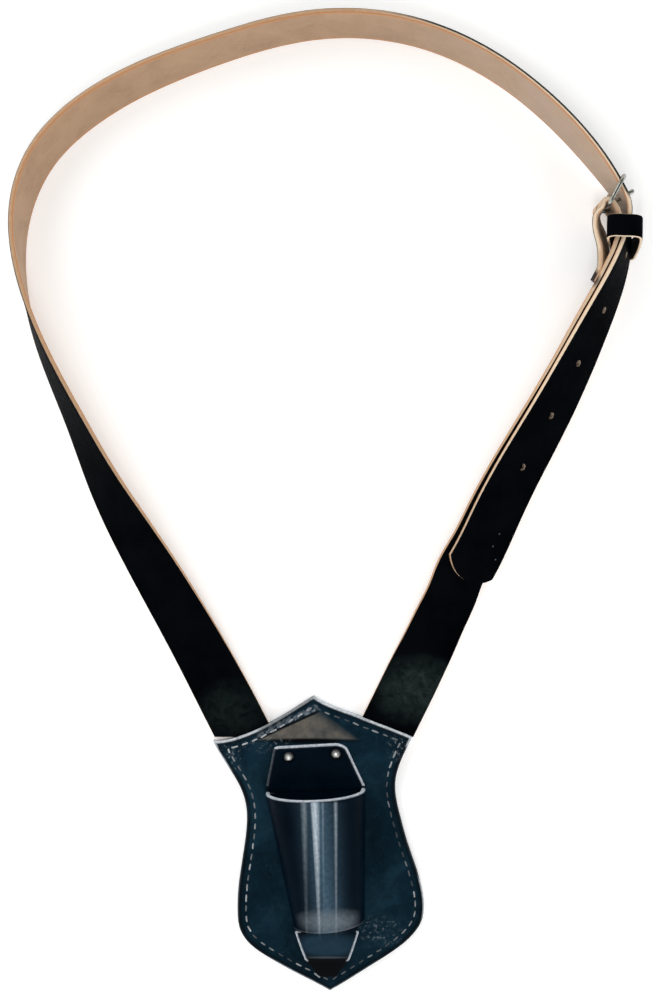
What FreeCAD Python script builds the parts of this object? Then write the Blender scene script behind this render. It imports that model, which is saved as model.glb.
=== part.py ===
import FreeCAD, Part
import math
import os

# Leather pole carrier sling: one adjustable strap loop, a shield-shaped double
# leather plate and a tapered leather cup that takes the foot of a pole.
# Millimetres. +Z up, the sling lies on its back on a flat surface at Z = 0,
# the shield points to -Y and the top of the loop to +Y.

os.makedirs("parts", exist_ok=True)
V = FreeCAD.Vector

# ------------------------------------------------------------------ dimensions
ORIGIN = (0.0, -240.0, 0.0)     # middle of the shield, on its back face
STRAP_W = 38.0          # strap width
STRAP_T = 3.5           # strap thickness
PLATE_T = 3.0           # each layer of the shield
FOLD_STEP = 3.72        # folded layer to strap at its end, middle to middle
RAMP_Y0 = -187.0        # the front layer is raised over the strap ends above this line
RAMP_Y1 = -200.0        # and lies on the back layer below this one
STITCH_INSET = 6.0      # stitch line to the cut edge
STITCH_PITCH = 7.2
STITCH_LEN = 5.0
THREAD_W = 0.9
THREAD_H = 0.45

HOLE_D = 4.6            # adjustment holes in the billet
HOLE_PITCH = 40.3
HOLE_COUNT = 6          # the first one holds the prong
TIP_SAG = 11.0          # rounding of the billet tip

HEEL_X, HEEL_Y = 190.8, 199.9       # heel bar axis, upright
FRAME_WIRE = 2.8
FRAME_REACH = 21.5      # heel bar axis to front bar axis
FRAME_ANGLE = 62.0      # direction heel -> front bar at rest, degrees in plan
FRAME_Z0, FRAME_Z1 = 1.8, 45.6      # side bar axes
FRAME_CORNER = 3.2
PRONG_ANGLE = 32.2
PRONG_WIRE = 2.4
PRONG_REACH = 22.3
PRONG_Z = 23.8
PIN_CLEARANCE = 0.05

KEEPER_W = 15.0
KEEPER_T = 2.0
KEEPER_ORIGIN = (203.0, 183.0)
KEEPER_DIR = (0.02, 1.0)
KEEPER_SKEW = 0.223     # the loop leans along the strap

CUP_T = 3.0
CUP_BACK_T = 2.8
CUP_MOUTH = ((-42.3, -203.2), (27.0, -200.2))
CUP_END = ((-22.6, -298.1), (26.6, -293.2))
CUP_MOUTH_H, CUP_END_H = 31.0, 19.0
CUP_POWER = 2.8
TONGUE_T = 2.6

RIVET_AT = ((-26.2, -178.0), (6.5, -176.0))
RIVET_SHANK_D = 3.0
RIVET_HEAD_D = 7.0
RIVET_HEAD_H = 2.0
BURR_D = 8.0
BURR_T = 1.0

# Strap middle lines: x, y, z of the middle of the section and its roll in
# degrees. Roll 0 lies flat grain up, 90 stands on its edge grain outward.
LONG_PATH = [
    (-52.24, -173.47, 4.75, 0.0), (-56.83, -164.58, 4.75, 0.0),
    (-61.40, -155.70, 4.77, 0.0), (-72.28, -134.47, 5.05, 4.3),
    (-83.32, -113.31, 5.74, 10.6), (-94.74, -92.22, 7.21, 16.6),
    (-106.55, -71.20, 8.88, 22.1), (-118.65, -50.22, 10.56, 27.9),
    (-130.89, -29.29, 12.42, 34.9), (-142.88, -8.35, 14.36, 43.0),
    (-154.01, 12.68, 16.07, 51.5), (-164.04, 33.89, 17.38, 59.5),
    (-173.89, 55.36, 18.21, 66.2), (-184.10, 77.18, 18.70, 71.4),
    (-193.93, 99.44, 18.99, 75.7), (-202.51, 122.21, 19.14, 80.1),
    (-208.95, 145.57, 19.20, 85.4), (-212.36, 169.27, 19.16, 91.5),
    (-211.89, 192.84, 19.18, 97.6), (-206.65, 215.79, 19.04, 102.7),
    (-196.06, 237.22, 18.85, 106.3), (-180.16, 255.76, 18.70, 108.4),
    (-161.06, 271.10, 18.65, 109.1), (-140.75, 283.55, 18.69, 108.5),
    (-119.53, 293.82, 18.79, 107.1), (-97.53, 302.64, 18.89, 105.6),
    (-74.89, 310.73, 18.96, 104.3), (-51.73, 318.11, 19.00, 103.5),
    (-28.20, 324.01, 19.03, 103.0), (-4.41, 327.61, 19.05, 102.6),
    (19.45, 328.34, 19.07, 102.0), (43.11, 326.12, 19.09, 101.4),
    (66.30, 320.89, 19.11, 100.8), (88.75, 312.58, 19.23, 100.2),
    (110.17, 301.39, 19.59, 99.7), (130.31, 287.88, 20.14, 99.3),
    (148.88, 272.62, 20.91, 99.1), (165.78, 256.03, 21.90, 98.7),
    (171.08, 250.19, 22.24, 98.4), (176.24, 244.19, 22.58, 97.8),
    (181.28, 238.03, 22.90, 97.0), (186.20, 231.68, 23.20, 95.9),
    (191.01, 225.16, 23.46, 94.4), (195.75, 218.45, 23.69, 92.5),
    (200.40, 211.55, 23.87, 90.1), (204.59, 204.46, 23.99, 87.2),
    (206.90, 197.19, 24.05, 84.0), (207.34, 189.78, 24.04, 80.7),
    (206.80, 182.27, 23.95, 77.4), (205.54, 174.67, 23.78, 74.2),
    (203.66, 167.03, 23.54, 71.1), (201.26, 159.36, 23.25, 68.1),
    (198.45, 151.68, 22.89, 65.1), (195.32, 144.03, 22.49, 62.3),
    (191.97, 136.43, 22.04, 59.6), (183.30, 117.81, 20.77, 53.6),
    (174.75, 99.79, 19.35, 48.4), (166.14, 82.17, 17.88, 43.9),
    (157.20, 64.67, 16.47, 39.8), (147.73, 47.07, 15.18, 36.0),
    (137.97, 29.32, 14.07, 32.5), (128.42, 11.48, 13.12, 29.3),
    (119.57, -6.40, 12.35, 26.5), (111.37, -24.26, 11.76, 24.4),
    (102.48, -42.04, 11.34, 22.9), (94.73, -54.82, 11.15, 22.4),
]

SHORT_PATH = [
    (34.87, -174.25, 4.75, 0.0), (41.48, -160.78, 4.75, 0.0),
    (48.10, -147.31, 4.78, 0.0), (56.01, -131.24, 4.62, 1.2),
    (63.86, -115.20, 4.45, 6.0), (71.63, -99.07, 5.94, 12.5),
    (79.06, -82.65, 7.50, 17.5), (86.70, -66.33, 8.41, 20.5),
    (93.37, -49.00, 9.01, 22.5), (103.09, -31.67, 9.31, 23.5),
    (111.66, -14.10, 9.83, 25.3), (120.34, 3.77, 10.52, 27.8),
    (129.84, 21.64, 11.34, 30.7), (139.74, 39.39, 12.23, 34.1),
    (149.55, 56.97, 13.15, 37.8), (158.84, 74.38, 14.41, 41.7),
    (167.64, 91.82, 15.81, 46.0), (176.00, 109.65, 17.49, 50.7),
    (184.40, 128.02, 19.16, 56.3), (187.97, 135.97, 19.85, 59.0),
    (191.64, 144.48, 20.54, 62.0), (195.04, 153.01, 21.20, 65.1),
    (198.03, 161.50, 21.81, 68.4), (200.48, 169.92, 22.36, 71.9),
    (202.25, 178.21, 22.84, 75.4), (202.90, 183.00, 23.48, 80.5),
    (201.90, 188.30, 23.53, 83.5), (199.70, 193.40, 23.52, 86.5),
    (196.90, 198.00, 23.48, 89.0), (193.75, 202.13, 23.50, 90.0),
    (192.65, 203.10, 23.50, 90.0), (191.12, 203.59, 23.50, 90.0),
    (189.53, 203.38, 23.50, 90.0), (188.18, 202.52, 23.50, 90.0),
    (187.32, 201.17, 23.50, 90.0), (187.11, 199.58, 23.50, 90.0),
    (186.60, 196.20, 23.37, 93.0), (186.00, 192.30, 23.30, 96.5),
    (186.90, 186.50, 22.90, 100.5), (188.70, 180.00, 22.30, 104.3),
    (190.20, 173.50, 21.60, 107.4), (191.40, 167.50, 21.00, 109.8),
    (192.15, 162.20, 20.40, 111.7), (192.30, 156.60, 19.92, 114.0),
    (191.42, 152.78, 19.55, 115.4), (190.10, 149.27, 19.21, 116.7),
    (188.90, 146.20, 18.90, 117.8),
]

# shield outline, clockwise from the top point, four smooth sides
SIDE_TOP_RIGHT = [(-9.0, -136.5), (3.2, -143.0), (17.9, -148.4), (32.6, -154.0),
                  (47.3, -159.6), (59.7, -164.8)]
SIDE_RIGHT = [(59.7, -164.8), (51.1, -182.9), (48.3, -193.5), (48.3, -205.5),
              (51.2, -219.4), (56.5, -238.6), (63.0, -257.7), (66.8, -272.3),
              (67.9, -282.4), (66.6, -292.5), (61.0, -301.9), (47.0, -314.1),
              (29.6, -325.3), (16.4, -333.6), (2.4, -342.0)]
SIDE_LEFT = [(2.4, -342.0), (-8.7, -335.9), (-23.3, -328.5), (-40.7, -318.6),
             (-54.6, -308.2), (-60.4, -298.8), (-62.0, -287.0), (-61.6, -272.3),
             (-59.8, -257.7), (-56.9, -238.6), (-55.5, -223.9), (-56.2, -212.4),
             (-60.0, -200.3), (-68.5, -185.2), (-79.0, -167.6)]
SIDE_TOP_LEFT = [(-79.0, -167.6), (-70.3, -166.9), (-58.4, -163.6),
                 (-42.3, -156.6), (-26.2, -147.4), (-9.0, -136.5)]


# --------------------------------------------------------------------- helpers
def spline(points, params=None):
    c = Part.BSplineCurve()
    if params is None:
        c.interpolate(points)
    else:
        c.interpolate(Points=points, Parameters=params)
    return c


def solid_of(faces):
    shell = Part.makeShell(faces)
    shell.sewShape()
    s = Part.makeSolid(shell)
    if s.Volume < 0:
        s.reverse()
    return s


class Ribbon:
    """Flat strap following a middle line with a roll at every station."""

    def __init__(self, rows, width, thick):
        self.w, self.t = width, thick
        pts = [V(r[0], r[1], r[2]) for r in rows]
        par = [0.0]
        for a, b in zip(pts, pts[1:]):
            par.append(par[-1] + (b - a).Length)
        self.par = par
        self.mid = spline(pts, par)
        self.roll = spline([V(r[3], 0, p) for r, p in zip(rows, par)], par)

    def frame(self, u):
        p = self.mid.value(u)
        t = self.mid.tangent(u)[0]
        t.z = 0
        t.normalize()
        r = math.radians(self.roll.value(u).x)
        return p, t, r

    def axes(self, u, side):
        """side +1: outward is left of travel, -1: right of travel."""
        p, t, r = self.frame(u)
        out = V(-t.y, t.x, 0) * side
        n = out * math.sin(r) + V(0, 0, math.cos(r))
        w = out * (-math.cos(r)) + V(0, 0, math.sin(r))
        return p, t, w, n

    def solid(self, side):
        rows = []
        for u in self.par:
            p, t, w, n = self.axes(u, side)
            a, b = self.w / 2.0, self.t / 2.0
            rows.append([p - w * a - n * b, p + w * a - n * b,
                         p + w * a + n * b, p - w * a + n * b])
        curves = [spline([r[k] for r in rows], self.par) for k in range(4)]
        faces = []
        cuts = list(range(0, len(self.par) - 2, 3)) + [len(self.par) - 1]
        for k in range(4):
            c0, c1 = curves[k], curves[(k + 1) % 4]
            surf = Part.BSplineSurface()
            surf.buildFromPolesMultsKnots([[a, b] for a, b in zip(c0.getPoles(), c1.getPoles())],
                                          c0.getMultiplicities(), [2, 2],
                                          c0.getKnots(), [0.0, 1.0], False, False, c0.Degree, 1)
            for i, j in zip(cuts, cuts[1:]):
                piece = surf.copy()
                piece.segment(self.par[i], self.par[j], 0.0, 1.0)
                f = piece.toShape()
                um = 0.5 * (self.par[i] + self.par[j])
                p, t, w, n = self.axes(um, side)
                if f.normalAt(um, 0.5).dot((n * -1, w, n, w * -1)[k]) < 0:
                    f.reverse()
                faces.append(f)
        for r, want in ((rows[0], -1), (rows[-1], 1)):
            u = self.par[0] if want < 0 else self.par[-1]
            f = Part.Face(Part.makePolygon(r + [r[0]]))
            if f.normalAt(0, 0).dot(self.axes(u, side)[1] * want) < 0:
                f.reverse()
            faces.append(f)
        return solid_of(faces)


def oriented(shape, origin, xdir, zdir):
    """Place a shape built at the origin so X runs along xdir, Z along zdir."""
    z = V(zdir).normalize()
    x = V(xdir)
    x = (x - z * x.dot(z)).normalize()
    y = z.cross(x)
    m = FreeCAD.Matrix(x.x, y.x, z.x, origin.x, x.y, y.y, z.y, origin.y,
                       x.z, y.z, z.z, origin.z, 0, 0, 0, 1)
    s = shape.copy()
    s.Placement = FreeCAD.Placement(m).multiply(s.Placement)
    return s


def prism(face_wire, z0, z1):
    f = Part.Face(face_wire)
    f.translate(V(0, 0, z0))
    return f.extrude(V(0, 0, z1 - z0))


def front_base(y):
    """Underside height of the front layer of the shield."""
    if y >= RAMP_Y0:
        return PLATE_T + STRAP_T
    if y <= RAMP_Y1:
        return PLATE_T
    k = (RAMP_Y0 - y) / (RAMP_Y0 - RAMP_Y1)
    return PLATE_T + STRAP_T * (0.5 + 0.5 * math.cos(math.pi * k))


def ramp_band(z_add, thick, y_hi, y_lo):
    """Sheet that follows the raised part, as a solid wide along X."""
    def line_of(dz):
        p = [V(-120, y_hi, front_base(y_hi) + dz)]
        mids = [V(-120, RAMP_Y0 + (RAMP_Y1 - RAMP_Y0) * i / 8.0,
                  front_base(RAMP_Y0 + (RAMP_Y1 - RAMP_Y0) * i / 8.0) + dz)
                for i in range(9)]
        e1 = Part.makeLine(p[0], mids[0])
        c = Part.BSplineCurve()
        c.interpolate(Points=mids, InitialTangent=V(0, -1, 0), FinalTangent=V(0, -1, 0))
        e2 = c.toShape()
        e3 = Part.makeLine(mids[-1], V(-120, y_lo, front_base(y_lo) + dz))
        return [e1, e2, e3], p[0], V(-120, y_lo, front_base(y_lo) + dz)
    low, l0, l1 = line_of(z_add)
    top, t0, t1 = line_of(z_add + thick)
    w = Part.Wire(Part.__sortEdges__(low + [Part.makeLine(l1, t1)] + top + [Part.makeLine(t0, l0)]))
    return Part.Face(w).extrude(V(240, 0, 0))


def group(shapes):
    return Part.makeCompound(shapes)


# ---------------------------------------------------------------- shield plates
outline = Part.Wire([spline([V(x, y, 0) for x, y in side]).toShape()
                     for side in (SIDE_TOP_RIGHT, SIDE_RIGHT, SIDE_LEFT, SIDE_TOP_LEFT)])


def inset_line(d, step=0.8):
    """Closed run of points at distance d inside the outline."""
    raw = []
    for e in outline.Edges:
        n = max(int(e.Length / step), 4)
        f, l = e.ParameterRange
        for i in range(n):
            u = f + (l - f) * (i + 0.5) / n
            raw.append((e.valueAt(u), e.tangentAt(u)))
    area = sum(p.x * raw[(i + 1) % len(raw)][0].y - raw[(i + 1) % len(raw)][0].x * p.y
               for i, (p, t) in enumerate(raw))
    sgn = 1 if area > 0 else -1
    keep = []
    for p, t in raw:
        q = p + V(-t.y, t.x, 0) * (d * sgn)
        if min((q.x - o.x) ** 2 + (q.y - o.y) ** 2 for o, _ in raw) > (d - 0.08) ** 2:
            keep.append(q)
    return keep


shield_back_plate = prism(outline, 0.0, PLATE_T)
shield_front_plate = ramp_band(0.0, PLATE_T, -120.0, -360.0).common(prism(outline, -5.0, 30.0))
# the front layer carries the thread on top, the back layer in a cut groove
stitches = []
run = inset_line(STITCH_INSET)
run.append(run[0])
lengths = [0.0]
for a, b in zip(run, run[1:]):
    lengths.append(lengths[-1] + (b - a).Length)
count = int(lengths[-1] / STITCH_PITCH)


def on_run(s):
    for i in range(len(run) - 1):
        if lengths[i + 1] >= s:
            k = (s - lengths[i]) / max(lengths[i + 1] - lengths[i], 1e-9)
            return run[i] + (run[i + 1] - run[i]) * k
    return run[-1]


def front_top(y):
    return front_base(y) + PLATE_T


pockets = []
for i in range(count):
    s0 = lengths[-1] * i / count + 1.0
    a, b = on_run(s0), on_run(s0 + STITCH_LEN)
    d = V(b.x - a.x, b.y - a.y, 0)
    d.normalize()
    c = (a + b) * 0.5
    h = STITCH_LEN / 2.0
    ya, yb = c.y - d.y * h, c.y + d.y * h
    slope = V(d.x * 2 * h, d.y * 2 * h, front_top(yb) - front_top(ya))
    up = slope.cross(V(-d.y, d.x, 0))
    zc = max(0.5 * (front_top(ya) + front_top(yb)), front_top(c.y))
    if RAMP_Y1 - 5 < c.y < RAMP_Y0 + 5:
        zc += 0.07
    bar = Part.makeBox(STITCH_LEN, THREAD_W, THREAD_H, V(-h, -THREAD_W / 2, 0.02))
    stitches.append(oriented(bar, V(c.x, c.y, zc), slope, up))
    low = Part.makeBox(STITCH_LEN, THREAD_W, THREAD_H, V(-h, -THREAD_W / 2, 0.05))
    stitches.append(oriented(low, V(c.x, c.y, 0), d, V(0, 0, 1)))
    pocket = Part.makeBox(STITCH_LEN + 0.1, THREAD_W + 0.1, 1.52, V(-h - 0.05, -THREAD_W / 2 - 0.05, -1.0))
    pockets.append(oriented(pocket, V(c.x, c.y, 0), d, V(0, 0, 1)))
shield_back_plate = shield_back_plate.cut(group(pockets))

# ----------------------------------------------------------------------- straps
long_ribbon = Ribbon(LONG_PATH, STRAP_W, STRAP_T)
short_ribbon = Ribbon(SHORT_PATH, STRAP_W, STRAP_T)
LONG_SIDE, SHORT_SIDE = 1, -1
long_strap = long_ribbon.solid(LONG_SIDE)
short_strap = short_ribbon.solid(SHORT_SIDE)

# sewn-in ends are trimmed a little inside the shield outline
trim = Part.makeBox(220, 60, 30, V(-110, -225.0, -10)).cut(prism(outline, -20, 30))
trim = trim.common(Part.makeBox(220, 60, 30, V(-110, -228.5, -10)))
long_strap = long_strap.cut(trim)
short_strap = short_strap.cut(trim)

# adjustment holes, evenly spaced along the billet
u0 = long_ribbon.mid.parameter(V(203.2, 207.7, 24))
holes = []
for k in range(HOLE_COUNT):
    u = long_ribbon.mid.parameterAtDistance(HOLE_PITCH * k, u0) if k else u0
    p, t, w, n = long_ribbon.axes(u, LONG_SIDE)
    cyl = Part.makeCylinder(HOLE_D / 2, 9.0, V(0, 0, -4.5))
    if k == 0:
        # the hole in use is stretched along the strap
        for s in (-1.4, 0.0, 1.4):
            holes.append(oriented(Part.makeCylinder(HOLE_D / 2 + 0.1, 9.0, V(s, 0, -4.5)), p, t, n))
    else:
        holes.append(oriented(cyl, p, t, n))
for h in holes:
    long_strap = long_strap.cut(h)

# rounded billet tip
ue = long_ribbon.par[-1]
p, t, w, n = long_ribbon.axes(ue, LONG_SIDE)
edge = []
for i in range(25):
    q = -1.0 + 2.0 * i / 24.0
    edge.append(V(-TIP_SAG * abs(q) ** 2.4, q * (STRAP_W / 2 + 0.6), 0))
arc = spline(edge).toShape()
closing = Part.makePolygon([edge[-1], V(20, edge[-1].y, 0), V(20, edge[0].y, 0), edge[0]])
tip_face = Part.Face(Part.Wire([arc] + closing.Edges))
tip_tool = tip_face.extrude(V(0, 0, 14))
tip_tool.translate(V(0, 0, -7))
# local X along travel, local Y across, local Z through the strap
long_strap = long_strap.cut(oriented(tip_tool, p, t, n))

# slot through the fold for the eye of the prong
slot = Part.makeCylinder(7.5, 6.4, V(HEEL_X, HEEL_Y, PRONG_Z - 3.2))
short_strap = short_strap.cut(slot)

# ------------------------------------------------------------------ fold rivets
um = short_ribbon.mid.parameter(V(194.2, 150.2, 21.2))
p, t, w, n = short_ribbon.axes(um, SHORT_SIDE)
chape_rivets = []
for s in (-9.5, 9.5):
    c = p + w * s
    half = STRAP_T / 2
    body = Part.makeCylinder(1.25, STRAP_T + FOLD_STEP, V(0, 0, -half - FOLD_STEP))
    outer = Part.makeCylinder(2.6, 0.7, V(0, 0, half - 0.7))
    dome = Part.makeCylinder(3.0, 0.5, V(0, 0, -half - FOLD_STEP - 0.5))
    cap = Part.makeSphere(4.2, V(0, 0, -half - FOLD_STEP - 0.5 + 2.95)).common(
        Part.makeCylinder(3.0, 1.4, V(0, 0, -half - FOLD_STEP - 1.9)))
    riv = body.fuse([outer, dome, cap]).removeSplitter()
    chape_rivets.append(oriented(riv, c, t, n))
    bore = Part.makeCylinder(1.27, 20.0, V(0, 0, -10)).fuse(
        Part.makeCylinder(2.62, 3.0, V(0, 0, half - 0.72)))
    short_strap = short_strap.cut(oriented(bore, c, t, n))
    seat = Part.makeCylinder(3.4, 2.4, V(0, 0, -half - FOLD_STEP - 2.4))
    short_strap = short_strap.cut(oriented(seat, c, t, n))

# ------------------------------------------------------------------ buckle frame
heel = V(HEEL_X, HEEL_Y, 0)
fd = V(math.cos(math.radians(FRAME_ANGLE)), math.sin(math.radians(FRAME_ANGLE)), 0)
R = FRAME_CORNER


def fp(r, z):
    return V(heel.x + fd.x * r, heel.y + fd.y * r, z)


def quarter(a, m, b):
    return Part.Arc(a, m, b).toShape()


k = R * (1 - math.sqrt(0.5))
z0, z1, L = FRAME_Z0, FRAME_Z1, FRAME_REACH
path = [Part.makeLine(fp(0, 0.5 * (z0 + z1)), fp(0, z1 - R)),
        quarter(fp(0, z1 - R), fp(k, z1 - k), fp(R, z1)),
        Part.makeLine(fp(R, z1), fp(L - R, z1)),
        quarter(fp(L - R, z1), fp(L - k, z1 - k), fp(L, z1 - R)),
        Part.makeLine(fp(L, z1 - R), fp(L, z0 + R)),
        quarter(fp(L, z0 + R), fp(L - k, z0 + k), fp(L - R, z0)),
        Part.makeLine(fp(L - R, z0), fp(R, z0)),
        quarter(fp(R, z0), fp(k, z0 + k), fp(0, z0 + R)),
        Part.makeLine(fp(0, z0 + R), fp(0, 0.5 * (z0 + z1)))]
section = Part.Wire(Part.makeCircle(FRAME_WIRE / 2, fp(0, 0.5 * (z0 + z1)), V(0, 0, 1)))
buckle_frame = Part.Wire(path).makePipeShell([section], True, False)
if buckle_frame.Volume < 0:
    buckle_frame.reverse()

# ------------------------------------------------------------------ buckle prong
pd = V(math.cos(math.radians(PRONG_ANGLE)), math.sin(math.radians(PRONG_ANGLE)), 0)
hz = V(HEEL_X, HEEL_Y, PRONG_Z)
eye_in = FRAME_WIRE / 2 + PIN_CLEARANCE
eye = Part.makeCylinder(eye_in + 1.9, 3.0, hz - V(0, 0, 1.5))
shank = Part.makeCylinder(PRONG_WIRE / 2, PRONG_REACH - 2.0 - PRONG_WIRE / 2, hz + pd * 2.0, pd)
tip = Part.makeSphere(PRONG_WIRE / 2, hz + pd * (PRONG_REACH - PRONG_WIRE / 2))
buckle_prong = eye.fuse([shank, tip]).cut(
    Part.makeCylinder(eye_in, 8.0, hz - V(0, 0, 4))).removeSplitter()

# ------------------------------------------------------------------- keeper loop
kt = V(KEEPER_DIR[0], KEEPER_DIR[1], 0)
kt.normalize()
kn = V(kt.y, -kt.x, 0)
KEEPER_MID = [(1.4, 1.6), (-0.8, 3.2), (-1.9, 7.0), (-5.1, 16.0), (-7.7, 24.0),
              (-10.1, 32.0), (-12.3, 40.0), (-12.3, 43.6), (-10.2, 45.6), (-5.0, 46.0),
              (1.5, 45.9), (5.8, 45.2), (8.7, 43.2), (10.1, 39.5), (11.2, 30.0),
              (11.9, 18.0), (11.9, 8.0), (11.4, 3.6), (9.6, 1.7), (5.9, 1.5)]
loop = Part.BSplineCurve()
loop.interpolate([V(a, b, 0) for a, b in KEEPER_MID], True)
inner_pts, outer_pts = [], []
f, l = loop.FirstParameter, loop.LastParameter
for i in range(60):
    u = f + (l - f) * i / 60.0
    q = loop.value(u)
    d = loop.tangent(u)[0]
    nn = V(d.y, -d.x, 0)
    for store, h in ((inner_pts, KEEPER_T / 2), (outer_pts, -KEEPER_T / 2)):
        a = q + nn * h
        zz = a.y
        along = -3.0 + KEEPER_SKEW * (zz - 23.5)
        store.append(V(KEEPER_ORIGIN[0], KEEPER_ORIGIN[1], 0) + kn * a.x +
                     kt * (along - KEEPER_W / 2) + V(0, 0, zz))
wires = []
for ptsk in (inner_pts, outer_pts):
    c = Part.BSplineCurve()
    c.interpolate(ptsk, True)
    wires.append(Part.Wire(c.toShape()))
solids = []
for w_ in wires:
    solids.append(Part.Face(w_).extrude(kt * KEEPER_W))
solids.sort(key=lambda s: abs(s.Volume))
keeper_loop = solids[1].cut(solids[0])

# --------------------------------------------------------------------- cup parts
BASE_Z = 2 * PLATE_T


def cup_section(k, grow, back, top):
    """Arched section; k 0 at the mouth, 1 at the lower end."""
    lx = CUP_MOUTH[0][0] + (CUP_END[0][0] - CUP_MOUTH[0][0]) * k
    ly = CUP_MOUTH[0][1] + (CUP_END[0][1] - CUP_MOUTH[0][1]) * k
    rx = CUP_MOUTH[1][0] + (CUP_END[1][0] - CUP_MOUTH[1][0]) * k
    ry = CUP_MOUTH[1][1] + (CUP_END[1][1] - CUP_MOUTH[1][1]) * k
    e = V(rx - lx, ry - ly, 0)
    a = e.Length / 2 - grow
    e.normalize()
    c = V((lx + rx) / 2, (ly + ry) / 2, 0)
    zt = BASE_Z + CUP_MOUTH_H + (CUP_END_H - CUP_MOUTH_H) * k - top
    zb = BASE_Z + back
    pts_ = []
    for i in range(33):
        phi = math.pi * (1 - i / 32.0)
        cx, sx = math.cos(phi), math.sin(phi)
        x = a * math.copysign(abs(cx) ** (2 / CUP_POWER), cx)
        z = zb + (zt - zb) * max(sx, 0.0) ** (2 / CUP_POWER)
        pts_.append(c + e * x + V(0, 0, z))
    arch = spline(pts_).toShape()
    return Part.Wire([arch, Part.makeLine(pts_[-1], pts_[0])])


outer_cup = Part.makeLoft([cup_section(0, 0, 0, 0), cup_section(1, 0, 0, 0)], True, True)
inner_cup = Part.makeLoft([cup_section(-0.03, CUP_T, CUP_BACK_T, CUP_T),
                           cup_section(1.03, CUP_T, CUP_BACK_T, CUP_T)], True, True)
cup_sleeve = outer_cup.cut(inner_cup)
TAB = [(-42.0, -199.2), (-36.5, -171.0), (8.2, -168.6), (14.0, -171.0), (26.7, -198.6),
       (27.0, -201.4), (-42.3, -204.4)]
tab_wire = Part.makePolygon([V(x, y, 0) for x, y in TAB + [TAB[0]]])
tab = ramp_band(PLATE_T, CUP_BACK_T, -150.0, -230.0).common(prism(tab_wire, -5, 40))
keep_out = inner_cup
cup_sleeve = cup_sleeve.fuse(tab).removeSplitter()

# tongue that closes the cup and runs down to the bottom point of the shield
base = BASE_Z + 0.02
TONGUE_SIDE = [(-288.0, 19.4), (-297.5, 18.6), (-301.0, 17.6), (-316.0, 8.0), (-320.0, base), (-331.5, base)]
up = [V(0, y, z) for y, z in TONGUE_SIDE]
off = []
for i, q in enumerate(up):
    a = up[max(i - 1, 0)]
    b = up[min(i + 1, len(up) - 1)]
    d1 = (q - a).normalize() if i > 0 else (b - q).normalize()
    d2 = (b - q).normalize() if i < len(up) - 1 else d1
    n1, n2 = V(0, -d1.z, d1.y) * -1, V(0, -d2.z, d2.y) * -1
    m = (n1 + n2).normalize()
    off.append(q + m * (TONGUE_T / max(0.3, m.dot(n1))))
prof = Part.makePolygon(up + off[::-1] + [up[0]])
tongue = Part.Face(prof).extrude(V(100, 0, 0))
tongue.translate(V(-50, 0, 0))
TONGUE_PLAN = [(-8.5, -288.0), (11.5, -288.0), (11.5, -297.4), (20.5, -297.6), (20.8, -299.5), (14.6, -319.5), (10.5, -326.0),
               (6.5, -331.5), (-5.0, -331.5), (-9.5, -326.0), (-13.6, -319.5), (-20.2, -299.5), (-20.0, -298.8), (-8.5, -298.2)]
cup_floor_tongue = tongue.common(prism(Part.makePolygon([V(x, y, 0) for x, y in TONGUE_PLAN + [TONGUE_PLAN[0]]]), -5, 60))
cup_floor_tongue = cup_floor_tongue.cut(cup_sleeve)

# ------------------------------------------------------------------- cup rivets
top_z = PLATE_T + STRAP_T + PLATE_T + CUP_BACK_T
cup_rivets, cup_burrs = [], []
for x, y in RIVET_AT:
    shaft = Part.makeCylinder(RIVET_SHANK_D / 2, top_z + 0.3 - 0.1, V(x, y, 0.1))
    rr = (RIVET_HEAD_D ** 2 / 4 + RIVET_HEAD_H ** 2) / (2 * RIVET_HEAD_H)
    dome = Part.makeSphere(rr, V(x, y, top_z + RIVET_HEAD_H - rr)).common(
        Part.makeCylinder(RIVET_HEAD_D / 2, RIVET_HEAD_H + 1, V(x, y, top_z)))
    cup_rivets.append(shaft.fuse(dome).removeSplitter())
    ring = Part.makeCylinder(BURR_D / 2, BURR_T, V(x, y, 0.1)).cut(
        Part.makeCylinder(RIVET_SHANK_D / 2 + 0.02, 5, V(x, y, -1)))
    cup_burrs.append(ring)
    bore = Part.makeCylinder(RIVET_SHANK_D / 2 + 0.02, 40, V(x, y, -5))
    cup_sleeve = cup_sleeve.cut(bore)
    shield_front_plate = shield_front_plate.cut(bore)
    shield_back_plate = shield_back_plate.cut(bore.fuse(
        Part.makeCylinder(BURR_D / 2 + 0.05, 2.15, V(x, y, -1.0))))

# the thread runs over the end of the tongue
stitches = [st.translated(V(0, 0, TONGUE_T + 0.05))
            if st.BoundBox.ZMin > PLATE_T and st.distToShape(cup_floor_tongue)[0] < 0.06 else st
            for st in stitches]

# ------------------------------------------------------------------------ export
NODES = [
    ("shield_back_plate", shield_back_plate),
    ("shield_front_plate", shield_front_plate),
    ("perimeter_stitching", group(stitches)),
    ("long_strap", long_strap),
    ("short_strap", short_strap),
    ("chape_rivets", group(chape_rivets)),
    ("buckle_frame", buckle_frame),
    ("buckle_prong", buckle_prong),
    ("keeper_loop", keeper_loop),
    ("cup_sleeve", cup_sleeve),
    ("cup_floor_tongue", cup_floor_tongue),
    ("cup_rivets", group(cup_rivets)),
    ("cup_rivet_burrs", group(cup_burrs)),
]
for name, shape in NODES:
    shape = shape.translated(V(-ORIGIN[0], -ORIGIN[1], -ORIGIN[2]))
    bb = shape.BoundBox
    print("%-20s solids %3d valid %s volume %.1f  x %.1f..%.1f y %.1f..%.1f z %.2f..%.2f" % (
        name, len(shape.Solids), shape.isValid(), shape.Volume,
        bb.XMin, bb.XMax, bb.YMin, bb.YMax, bb.ZMin, bb.ZMax))
    shape.exportStep("parts/%s.step" % name)
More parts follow.
